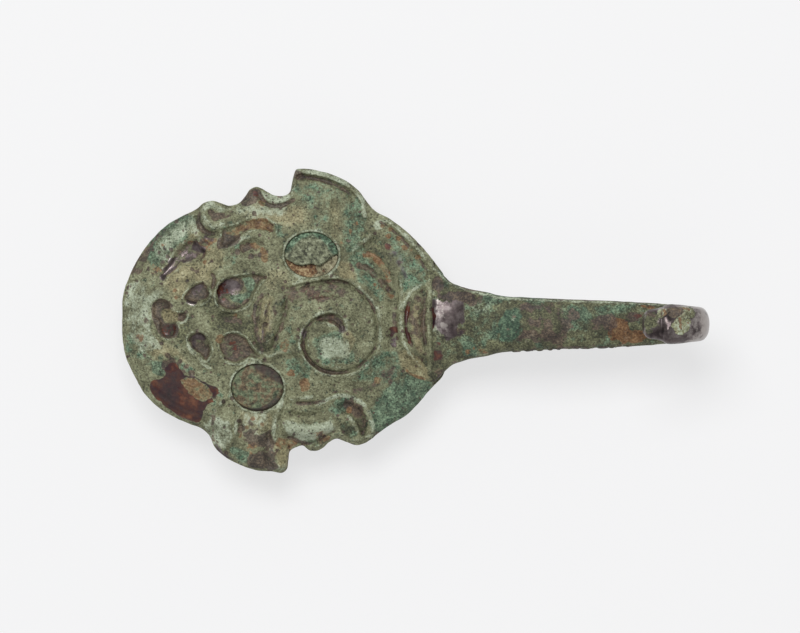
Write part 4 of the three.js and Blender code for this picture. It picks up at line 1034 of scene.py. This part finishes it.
# Along in shaft lengths, half width in half shaft widths, underside in arches, thickness in thicknesses
shaft_stations = np.array([
    [-0.045, 2.0, 0.02, 0.82], [-0.012, 2.32, 0.0, 0.92], [0.004, 2.315, 0.0, 0.9], [0.018, 2.25, 0.0, 0.865],
    [0.036, 2.09, 0.0, 0.882], [0.06, 1.85, 0.03, 0.9], [0.089, 1.62, 0.09, 0.92], [0.123, 1.5, 0.2, 0.93],
    [0.166, 1.38, 0.35, 1.0], [0.229, 1.28, 0.56, 1.05], [0.293, 1.13, 0.71, 1.07], [0.399, 1.06, 0.9, 1.04],
    [0.506, 1.015, 1.0, 1.0], [0.612, 0.97, 1.0, 0.98], [0.718, 0.94, 0.92, 0.96],
    [0.824, 0.894, 0.74, 0.945], [0.93, 0.842, 0.56, 0.93], [1.0, 0.79, 0.51, 0.91],
])
# Along in hook lengths, half width and thickness as on the shaft
hook_stations = np.array([
    [0.06, 0.77, 0.89], [0.13, 0.75, 0.87], [0.2, 0.73, 0.85], [0.27, 0.71, 0.84], [0.34, 0.69, 0.84],
    [0.41, 0.68, 0.84], [0.48, 0.69, 0.86], [0.55, 0.7, 0.9], [0.62, 0.73, 0.96], [0.69, 0.77, 1.04],
    [0.75, 0.79, 1.08], [0.79, 0.79, 1.04], [0.82, 0.77, 0.98], [0.85, 0.68, 0.88], [0.9, 0.62, 0.86],
    [0.94, 0.6, 0.8], [0.975, 0.52, 0.66], [1.0, 0.36, 0.36],
])
shaft_half_thickness = shaft_stations[:, 3] * shaft_thickness / 2
shaft_middle = edge_underside + shaft_stations[:, 2] * shaft_arch + shaft_half_thickness
bend_z = shaft_middle[-1] + hook_bend_radius
hook_along = hook_stations[:, 0] * hook_length
hook_angle = np.minimum(hook_along, bend_length) / hook_bend_radius
hook_rest = np.maximum(0, hook_along - bend_length)
hook_x = bend_x + hook_bend_radius * np.sin(hook_angle) + hook_rest * np.cos(hook_angle)
hook_z = bend_z - hook_bend_radius * np.cos(hook_angle) + hook_rest * np.sin(hook_angle)
shaft_along = (shaft_stations[:, 0] - 1) * shaft_length
stations = np.concatenate([
    np.column_stack([
        shaft_start + shaft_stations[:, 0] * shaft_length, shaft_middle, 0 * shaft_along,
        shaft_stations[:, 1] * shaft_width / 2, shaft_half_thickness, 0 * shaft_along, shaft_along,
    ]),
    np.column_stack([
        hook_x, hook_z, hook_angle, hook_stations[:, 1] * shaft_width / 2,
        hook_stations[:, 2] * shaft_thickness / 2, ramp(hook_stations[:, 0], 0, 0.43), hook_along,
    ]),
])
columns = smooth_curve(stations, shaft_rings).T[..., None]
centre_x, centre_z, angle, half_width, half_thickness, head_share, along = columns

# Half of the section, from the middle of the underside round to the top's, on the shaft and on the head
shaft_half_section = np.array([
    [0, -1], [0.3, -1], [0.6, -1], [0.86, -0.99], [0.97, -0.88], [1, -0.66], [0.995, -0.3], [0.97, 0.0],
    [0.9, 0.32], [0.84, 0.52], [0.7, 0.7], [0.5, 0.84], [0.25, 0.96], [0, 1],
])
head_half_section = np.array([
    [0, -1], [0.22, -0.98], [0.42, -0.91], [0.6, -0.79], [0.76, -0.61], [0.9, -0.36], [0.97, -0.1],
    [1, 0.14], [0.99, 0.4], [0.93, 0.62], [0.8, 0.84], [0.55, 0.96], [0.28, 1], [0, 1],
])


def whole_section(half):
    """The closed section from its right half: the half, then its mirror image from the top back down."""
    mirrored = half[1:-1][::-1] * [-1, 1]
    return smooth_curve(np.concatenate([half, mirrored]), section_steps, closed=True).T


across, rise = (shaft * (1 - head_share) + head * head_share
                for shaft, head in zip(whole_section(shaft_half_section), whole_section(head_half_section)))
outward = ramp(-rise, 0.0, 0.8)
upward = ramp(rise, 0.0, 0.8)
head_at = along / hook_length


def hump(at, width, across_at, across_width, height):
    """A rounded hump on the head: height * exp(-(s / width)^2 - (a / across_width)^2)."""
    return height * np.exp(-((head_at - at) / width)**2 - ((across - across_at) / across_width)**2)


# The head's features rise from its outer side: brow, mane, ears, snout and nostrils, less a groove and an eye
head_relief = outward * (
    hump(0.8, 0.02, -0.35, 0.3, 0.3) + hump(0.7, 0.05, -0.05, 0.18, 0.16)
    + hump(0.72, 0.035, 0.66, 0.16, 0.2) + hump(0.72, 0.035, -0.66, 0.16, 0.2)
    + hump(0.88, 0.03, 0.1, 0.3, 0.12) + hump(0.965, 0.03, 0.0, 0.7, 0.12)
    - hump(0.84, 0.01, 0.0, 0.9, 0.2) - hump(0.78, 0.025, 0.42, 0.22, 0.3)
)
mouth = mouth_depth * np.exp(-((rise - 0.32) / 0.16)**2)
mouth *= ramp(head_at, 0.88, 0.9) * ramp(np.abs(across), 0.2, 0.5)
swept = np.stack([
    centre_x - np.sin(angle) * rise * half_thickness, across * half_width,
    centre_z + np.cos(angle) * rise * half_thickness,
], axis=2)
lengthwise = np.gradient(swept, axis=0)
round_about = np.roll(swept, -1, axis=1) - np.roll(swept, 1, axis=1)
square_to = np.cross(round_about, lengthwise)
square_to /= np.linalg.norm(square_to, axis=2, keepdims=True) + 1e-9
middle_line = swept.mean(axis=1, keepdims=True)
square_to *= np.sign(((swept - middle_line) * square_to).sum(axis=2, keepdims=True).sum())

shaft_x, shaft_y = swept[..., 0].copy(), swept[..., 1].copy()
on_shaft = along < 0
is_top = upward * on_shaft
saddle = ramp(shaft_x, 22.0, 20.0) * is_top
head_zone = ramp(head_at, 0.5, 0.6)
bend_zone = ramp(head_at, 0.02, 0.12)
rough_shaft = 0.05 * crust(swept, 1.8) + 0.035 * crust(swept + 30, 0.7, 2)
rough_shaft *= 1 - 0.75 * np.maximum(saddle, bend_zone)
uneven = crust(swept + 12, 2.4, 4)
speckle = crust(swept + 90, 0.5, 2)


def spot(x, y, reach_x, reach_y, soft=0.6):
    """A ragged patch of a coat, by its middle and how far it reaches each way, in mm seen from above."""
    apart = np.hypot((shaft_x - x) / reach_x, (shaft_y - y) / reach_y) + 0.7 * uneven + 0.3 * speckle
    return ramp(apart, 1 + soft, 1 - soft)


def spots(*rows):
    """The sum of spots, each given as its share, then as for spot."""
    return sum(share * spot(*place) for share, *place in rows)


def strip(low_x, high_x, low_y, high_y, soft=0.39):
    """A ragged patch of a coat between two places each way, in mm seen from above."""
    inner = np.minimum.reduce([shaft_x - low_x, high_x - shaft_x, shaft_y - low_y, high_y - shaft_y])
    return ramp(inner + 0.52 * uneven + 0.195 * speckle, -soft, soft)


# Lumps of crust stand on the head's snout, and crumbs of casting along the shaft's lower edge
on_head = outward * ramp(head_at, 0.5, 0.55)
crusted = on_head * np.maximum.reduce([
    spot(49.14, 0.0, 1.17, 1.3, 0.15), spot(49.92, 1.56, 0.91, 0.78, 0.15), spot(46.8, 1.43, 0.78, 0.65, 0.2),
])
lump = crusted * (0.16 + 0.14 * speckle)
crumbs = ramp(-across, 0.8, 0.95) * ramp(-rise, 0.9, 0.3) * ramp(speckle + 0.4 * uneven, 0.0, 0.4)
crumbs *= ramp(shaft_x, 26.0, 28.6) * ramp(shaft_x, 44.2, 41.86)
ends_quiet = ramp(head_at, 1.0, 0.97)
stands_off = rough_shaft - skin_allowance + crumb_height * crumbs + (head_relief + lump - mouth) * ends_quiet
swept += square_to * stands_off[..., None]
shaft_and_hook = closed_skin("shaft_and_hook", swept)

patches = crust(swept + 5, 3.0)
small_patches = crust(swept + 44, 1.4)
under = ramp(-rise, 0.2, 0.9) * on_shaft
bend_bare = bend_zone * (1 - crusted) * (1 - 0.4 * head_zone)
neck = ramp(swept[..., 0], 22.6, 21.6) * is_top
snout_pit = spot(48.23, 1.43, 1.04, 0.78, 0.2)
lay_on(shaft_and_hook, {
    "green": np.clip(
        0.66 * ramp(patches, 0.0, 0.5) * (1 - bend_zone) + 0.8 * crusted * ramp(speckle, 0.2, -0.1)
        + is_top * spots(
            (0.5, 23.66, 1.04, 2.34, 3.12), (0.6, 35.1, 0.78, 2.86, 2.08), (0.6, 40.56, 1.95, 4.16, 1.17),
            (0.4, 19.76, -3.12, 2.6, 1.82), (0.4, 31.85, -2.08, 3.9, 0.91)), 0, 1),
    "soil": (1 - 0.8 * saddle) * np.clip(
        is_top * spots(
            (0.9, 43.42, -1.56, 2.86, 1.04, 0.2), (0.9, 41.73, -0.39, 1.3, 1.17, 0.2),
            (0.9, 45.5, 2.6, 1.3, 0.52, 0.2), (0.5, 23.4, -3.64, 2.08, 0.52))
        + 0.4 * ramp(small_patches, 0.5, 0.8) * (1 - 0.7 * bend_zone)
        + 0.8 * crusted * ramp(speckle, 0.25, 0.4), 0, 1),
    "dark": np.clip(
        0.62 * ramp(-patches, 0.1, 0.6) * (1 - bend_zone)
        + on_head * (snout_pit + spots((0.8, 45.5, 1.3, 0.78, 0.52), (0.55, 45.5, -1.43, 1.04, 0.65))
                     + 0.5 * ramp(np.abs(head_at - 0.84), 0.012, 0.004))
        + is_top * spots(
            (0.75, 31.2, 2.34, 2.08, 0.91), (0.5, 30.81, 0.0, 2.86, 2.08), (0.75, 39.26, 0.13, 1.69, 1.04),
            (1.0, 17.94, 5.2, 0.91, 0.91, 0.3), (0.8, 43.16, 0.91, 1.3, 0.91, 0.3),
            (1.0, 20.28, 3.64, 2.08, 0.65, 0.3), (0.75, 19.76, -0.78, 2.21, 0.52),
            (0.62, 30.94, -1.95, 3.12, 1.04), (0.6, 22.62, 3.51, 1.56, 0.78))
        + 0.8 * crumbs + 0.5 * under * ramp(-small_patches, 0, 0.5), 0, 1),
    "worn": (1 - on_head * np.maximum(0.75 * spot(45.24, 0.26, 1.04, 1.56), snout_pit)) * np.clip(
        0.95 * neck * strip(16.9, 21.45, -2.73, 3.12) * spot(18.98, 1.43, 2.99, 2.99, 0.15)
        + 0.95 * bend_bare + 0.75 * on_head * (1 - crusted), 0, 1),
    # Pale: painted highlight along both edges of the shaft, stronger on the upper one, as a bar on the
    # saddle, along the head's edges and round the snout's tip; a lighter worn tone on the bend; elsewhere
    # pale crust
    "pale": np.clip(
        (0.55 * ramp(across, 0.82, 0.93) + 0.3 * ramp(-across, 0.86, 0.94) * (1 - crumbs))
        * ramp(rise, -0.2, 0.1) * (1 - saddle)
        + 0.55 * neck * strip(17.42, 19.11, -0.65, 3.12) * ramp(speckle, -0.5, 0.2)
        + 0.8 * bend_bare * ramp(head_at, 0.3, 0.4) * ramp(shaft_x, 48.88, 50.7)
        + is_top * (0.4 * spot(23.66, 2.34, 1.3, 1.3) + 0.42 * ramp(small_patches, 0.15, 0.55))
        + 0.65 * on_head * ramp(np.abs(across), 0.84, 0.88) * ramp(np.abs(across), 0.97, 0.93)
        + 0.36 * on_head * ramp(head_at, 0.95, 0.965) * ramp(head_at, 0.99, 0.98)
        + 0.62 * crusted * ramp(speckle, -0.3, 0.1), 0, 1),
    "olive": 0.95 - 0.2 * crusted,
    "tan": 0.7 * crusted,
    "sea": 0.85 * is_top * spot(27.43, -0.13, 1.69, 2.08, 0.3),
    "red": is_top * spots(
        (0.5, 43.94, 1.04, 0.91, 0.65), (0.6, 17.81, -4.16, 0.78, 1.82), (0.95, 17.29, 0.78, 0.39, 1.82)),
})
shaft_and_hook.data.materials.append(bronze_patina)
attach(shaft_and_hook, "root")
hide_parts("hook_casting")

# Beds of the two round cells: earthy bedding paste, pressed into the pockets to hold the inlays. It is brown
# and rough, and where the upper inlay is chipped it shows, with a pale scale over part of it.

inlay_spokes = np.linspace(0, 2 * np.pi, 260, endpoint=False)
inlay_edge_round, bed_edge_round = 0.12, 0.05
inlay_grain, bed_grain = 0.05, 0.06


def in_cell(at, rings):
    """Rings from a cell's own frame to the plate's."""
    middle, tilt = cell_frame(at)
    return rings @ tilt.T + middle


def oval_size(size):
    """The half length and half width of an oval that lies inside a cell's wall with its clearance."""
    half = cell_half_length - inlay_inset
    return half * size[0], half * size[1] * cell_half_width / cell_half_length


def oval_reach(size):
    """How far an oval reaches along each spoke: 1 / hypot(cos a / half length, sin a / half width)."""
    half_length, half_width = oval_size(size)
    return 1 / np.hypot(np.cos(inlay_spokes) / half_length, np.sin(inlay_spokes) / half_width)


def slab(reach, middle, top, base, edge_round):
    """Rings of a low slab: top(x, y) over it, a rounded edge, and a flat base."""
    shares = np.append(np.linspace(0.02, 0.93, 40), [0.96, 0.985, 1.0])[:, None]
    x = middle[0] + shares * reach * np.cos(inlay_spokes)
    y = middle[1] + shares * reach * np.sin(inlay_spokes)
    z = top(x, y) - edge_round * ramp(shares, 0.9, 1.0)**2
    upper = np.stack([x, y, z], axis=2)
    lower = np.stack([x[::-4], y[::-4], np.full_like(x[::-4], base)], axis=2)
    return np.concatenate([upper, lower])


def crumbly(x, y, size, depth):
    """Seeded grain on a flat place: depth times fractal noise."""
    return depth * crust(np.stack([x, y, 0 * x], axis=-1), size)


def bed_surface(x, y):
    """The paste's top: rough, and never above the cell's own bed level."""
    return bed_top - bed_grain + crumbly(x, y, 1.3, bed_grain)


def paste_bed(name, at, size):
    """The layer of paste under an inlay."""
    rings = slab(oval_reach(size), (0, 0), bed_surface, bed_base, bed_edge_round)
    bed = closed_skin(name, in_cell(at, rings))
    lay_on(bed, {"pale": 0.8 * ramp(rings[..., 0], -0.6, 1.4)})
    bed.data.materials.append(bedding_paste)
    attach(bed, "root")
    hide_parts(name.replace("_paste", "_bed"))


bedding_paste, start = new_finish("bedding_paste")
lumps = mottle(start, 1.4, 5.0, 0.65)
dust = mottle(start, 0.3, 3.0, 0.6)
mixed = lumps * 0.55 + dust * 0.45
brown_paste = mixed.bands((0.4, "241811"), (0.46, "573c29"), (0.54, "85684a"), (0.6, "b09c77"))
scaly_paste = mixed.bands((0.4, "4a4534"), (0.5, "8f8c70"), (0.59, "bab79b"))
surface(start, {
    "Base Color": brown_paste.toward(scaly_paste, coat_of(start, "pale", lumps, 2.6, 0.1) * 0.85),
    "Roughness": 0.85, "Normal": rough_ground(start, mixed, 0.8),
})

paste_bed("upper_inlay_paste", *upper_cell)
paste_bed("lower_inlay_paste", *lower_cell)

# Upper inlay: a stone or paste filling, altered to a granular dull green, pressed onto its bed in the upper
# cell. Its lower edge has broken away, and verdigris has crept in from the cell's wall round its upper half.

# The broken line, in half lengths along and half widths across
chip_line = np.array([
    [-1.2, -0.05], [-0.86, -0.2], [-0.6, -0.36], [-0.3, -0.46], [0.0, -0.38], [0.3, -0.44], [0.55, -0.24],
    [0.8, -0.02], [1.2, 0.06],
]) * [cell_half_length, cell_half_width]
core = np.array([0.0, 0.7])
tries = np.linspace(0, 5, 400)[:, None]
ray_x, ray_y = core[0] + tries * np.cos(inlay_spokes), core[1] + tries * np.sin(inlay_spokes)
oval_x, oval_y = oval_size(upper_cell[1])
chip_edge = np.interp(ray_x, *chip_line.T) + 0.12 + crumbly(ray_x, 0 * ray_x, 0.9, 0.1)
outside = (ray_x / oval_x)**2 + (ray_y / oval_y)**2 > 1
upper_reach = tries[np.argmax((ray_y < chip_edge) | outside, axis=0), 0]


def inlay_crown(size):
    """The height over an inlay: its straight edge, plus dome * (1 - r * r) for r from 0 to 1 at the oval's
    edge, plus grain."""
    def height(x, y):
        far = (x / (cell_half_length * size[0]))**2 + (y / (cell_half_width * size[1]))**2
        crown = inlay_dome * np.clip(1 - far, 0, 1)
        return inlay_base + inlay_thickness - inlay_grain + crown + crumbly(x, y, 0.7, inlay_grain)
    return height


upper_rings = slab(upper_reach, core, inlay_crown(upper_cell[1]), inlay_base, inlay_edge_round)
upper_inlay = closed_skin("green_inlay", in_cell(upper_cell[0], upper_rings))
from_core = np.hypot(upper_rings[..., 0], upper_rings[..., 1] * cell_half_length / cell_half_width)
lay_on(upper_inlay, {"green": 0.8 * ramp(from_core, 1.9, 3.0) * ramp(upper_rings[..., 1], -0.6, 0.6)})
green_filling, start = new_finish("green_filling")
green_grains = mottle(start, 0.55, 5.0, 0.7)
holes = mottle(start, 0.4, 1.0, 0.5).between(0.6, 0.66)
filling = green_grains.bands((0.36, "414538"), (0.46, "666a53"), (0.54, "7f836a"), (0.64, "a4aa8f"))
verdigris = green_grains.bands((0.36, "20392c"), (0.5, "557760"), (0.64, "9cbc9e"))
rind = coat_of(start, "green", mottle(start, 2.0, 3.0, 0.5), 1.4)
surface(start, {
    "Base Color": filling.toward(verdigris, rind * 0.75).toward(tint("33342a"), holes * 0.7),
    "Roughness": 0.78, "Normal": rough_ground(start, green_grains - holes * 0.5, 0.9),
})
upper_inlay.data.materials.append(green_filling)
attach(upper_inlay, "root")
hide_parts("upper_round_inlay")

# Lower inlay: the same kind of filling, whole, altered to mottled brown and green and pressed onto its bed in
# the lower cell. Dark corrosion has crept over its upper right and its lower edge.

lower_reach = oval_reach(lower_cell[1])
lower_rings = slab(lower_reach, (0, 0), inlay_crown(lower_cell[1]), inlay_base, inlay_edge_round)
lower_inlay = closed_skin("mottled_inlay", in_cell(lower_cell[0], lower_rings))
low_x, low_y = lower_rings[..., 0], lower_rings[..., 1]
lay_on(lower_inlay, {"dark": np.clip(
    0.85 * ramp(0.5 * low_x + 0.85 * low_y, 1.3, 2.4) * ramp(low_x, -1.6, 0.2)
    + 0.9 * ramp(np.hypot(low_x + 0.5, low_y - 0.6), 3.0, 3.5) * ramp(low_y, -0.8, -1.8), 0, 1)})
mottled_filling, start = new_finish("mottled_filling")
mixed_grains = mottle(start, 0.5, 5.0, 0.75)
brown_part = mixed_grains.bands((0.36, "35291f"), (0.5, "675842"), (0.64, "8f8063"))
green_part = mixed_grains.bands((0.36, "2e3829"), (0.5, "5e694f"), (0.64, "8b9574"))
greenness = mottle(start, 1.1, 5.0, 0.7).between(0.42, 0.58)
shade = coat_of(start, "dark", mixed_grains, 1.4)
surface(start, {
    "Base Color": brown_part.toward(green_part, greenness).toward(tint("33262a"), shade * 0.75),
    "Roughness": 0.66, "Normal": rough_ground(start, mixed_grains, 0.8, 0.22),
})
lower_inlay.data.materials.append(mottled_filling)
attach(lower_inlay, "root")
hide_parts("lower_round_inlay")

# Floor, light and camera: a pale table without texture, one broad lamp from the top of the picture, and a
# dim one from below it. The table glows a little to the camera, so that it stays as pale as in the picture.

table_reach = 3
table_corners = (-1, -1), (1, -1), (1, 1), (-1, 1)
table_colour = 0.86, 0.86, 0.87, 1.0
glow_colour = 0.945, 0.945, 0.95, 1.0
glow_share = 0.68
floor_mesh = bpy.data.meshes.new("pale_floor")
floor_mesh.from_pydata([(x * table_reach, y * table_reach, 0) for x, y in table_corners], [], [(0, 1, 2, 3)])
pale_floor = bpy.data.objects.new("pale_floor", floor_mesh)
bpy.context.scene.collection.objects.link(pale_floor)
floor_finish, start = new_finish("floor_finish")
lit = start.node("ShaderNodeBsdfDiffuse", {}, {"Color": table_colour})
glow = start.node("ShaderNodeEmission", {}, {"Color": glow_colour, "Strength": 1.0})
camera_ray, glossy_ray, clear_ray = (
    start.node("ShaderNodeLightPath", output=f"Is {ray} Ray") for ray in ("Camera", "Glossy", "Transmission")
)
share = start.maths("MINIMUM", camera_ray + glossy_ray + clear_ray, 1.0) * glow_share
floor_shader = start.node("ShaderNodeMixShader", {}, {0: share, 1: lit, 2: glow})
start.node("ShaderNodeOutputMaterial", {}, {"Surface": floor_shader})
pale_floor.data.materials.append(floor_finish)


def soft_lamp(name, place, target, size, power):
    """A rectangular area lamp at a place in metres, turned to face the target."""
    lamp = bpy.data.lights.new(name, "AREA")
    lamp.shape = "RECTANGLE"
    lamp.size, lamp.size_y = size
    lamp.energy = power
    holder = bpy.data.objects.new(name, lamp)
    holder.location = place
    gaze = np.array(target) - np.array(place)
    holder.rotation_euler = (
        math.atan2(math.hypot(gaze[0], gaze[1]), -gaze[2]), 0, math.atan2(gaze[1], gaze[0]) - math.pi / 2,
    )
    bpy.context.scene.collection.objects.link(holder)


object_middle = (0.01, 0, 0)
soft_lamp("window_light", (-0.1, 0.34, 0.8), object_middle, (0.5, 0.36), 4.9)
soft_lamp("fill_light", (0.1, -0.7, 0.6), object_middle, (0.8, 0.6), 0.5)
world = bpy.data.worlds.new("studio_air")
world.use_nodes = True
air = world.node_tree.nodes["Background"].inputs
air["Color"].default_value = (1.0, 1.0, 1.0, 1.0)
air["Strength"].default_value = 0.4
bpy.context.scene.world = world

picture_width = 104 * mm
picture_middle = 13.0 * mm, 0.98 * mm
face_height = 7 * mm
lens = 400
sensor = 36
camera_data = bpy.data.cameras.new("top_camera")
camera_data.lens = lens
camera_data.sensor_width = sensor
top_camera = bpy.data.objects.new("top_camera", camera_data)
top_camera.location = (*picture_middle, picture_width / sensor * lens + face_height)
bpy.context.scene.collection.objects.link(top_camera)
bpy.context.scene.camera = top_camera
bpy.context.scene.view_settings.view_transform = "Standard"
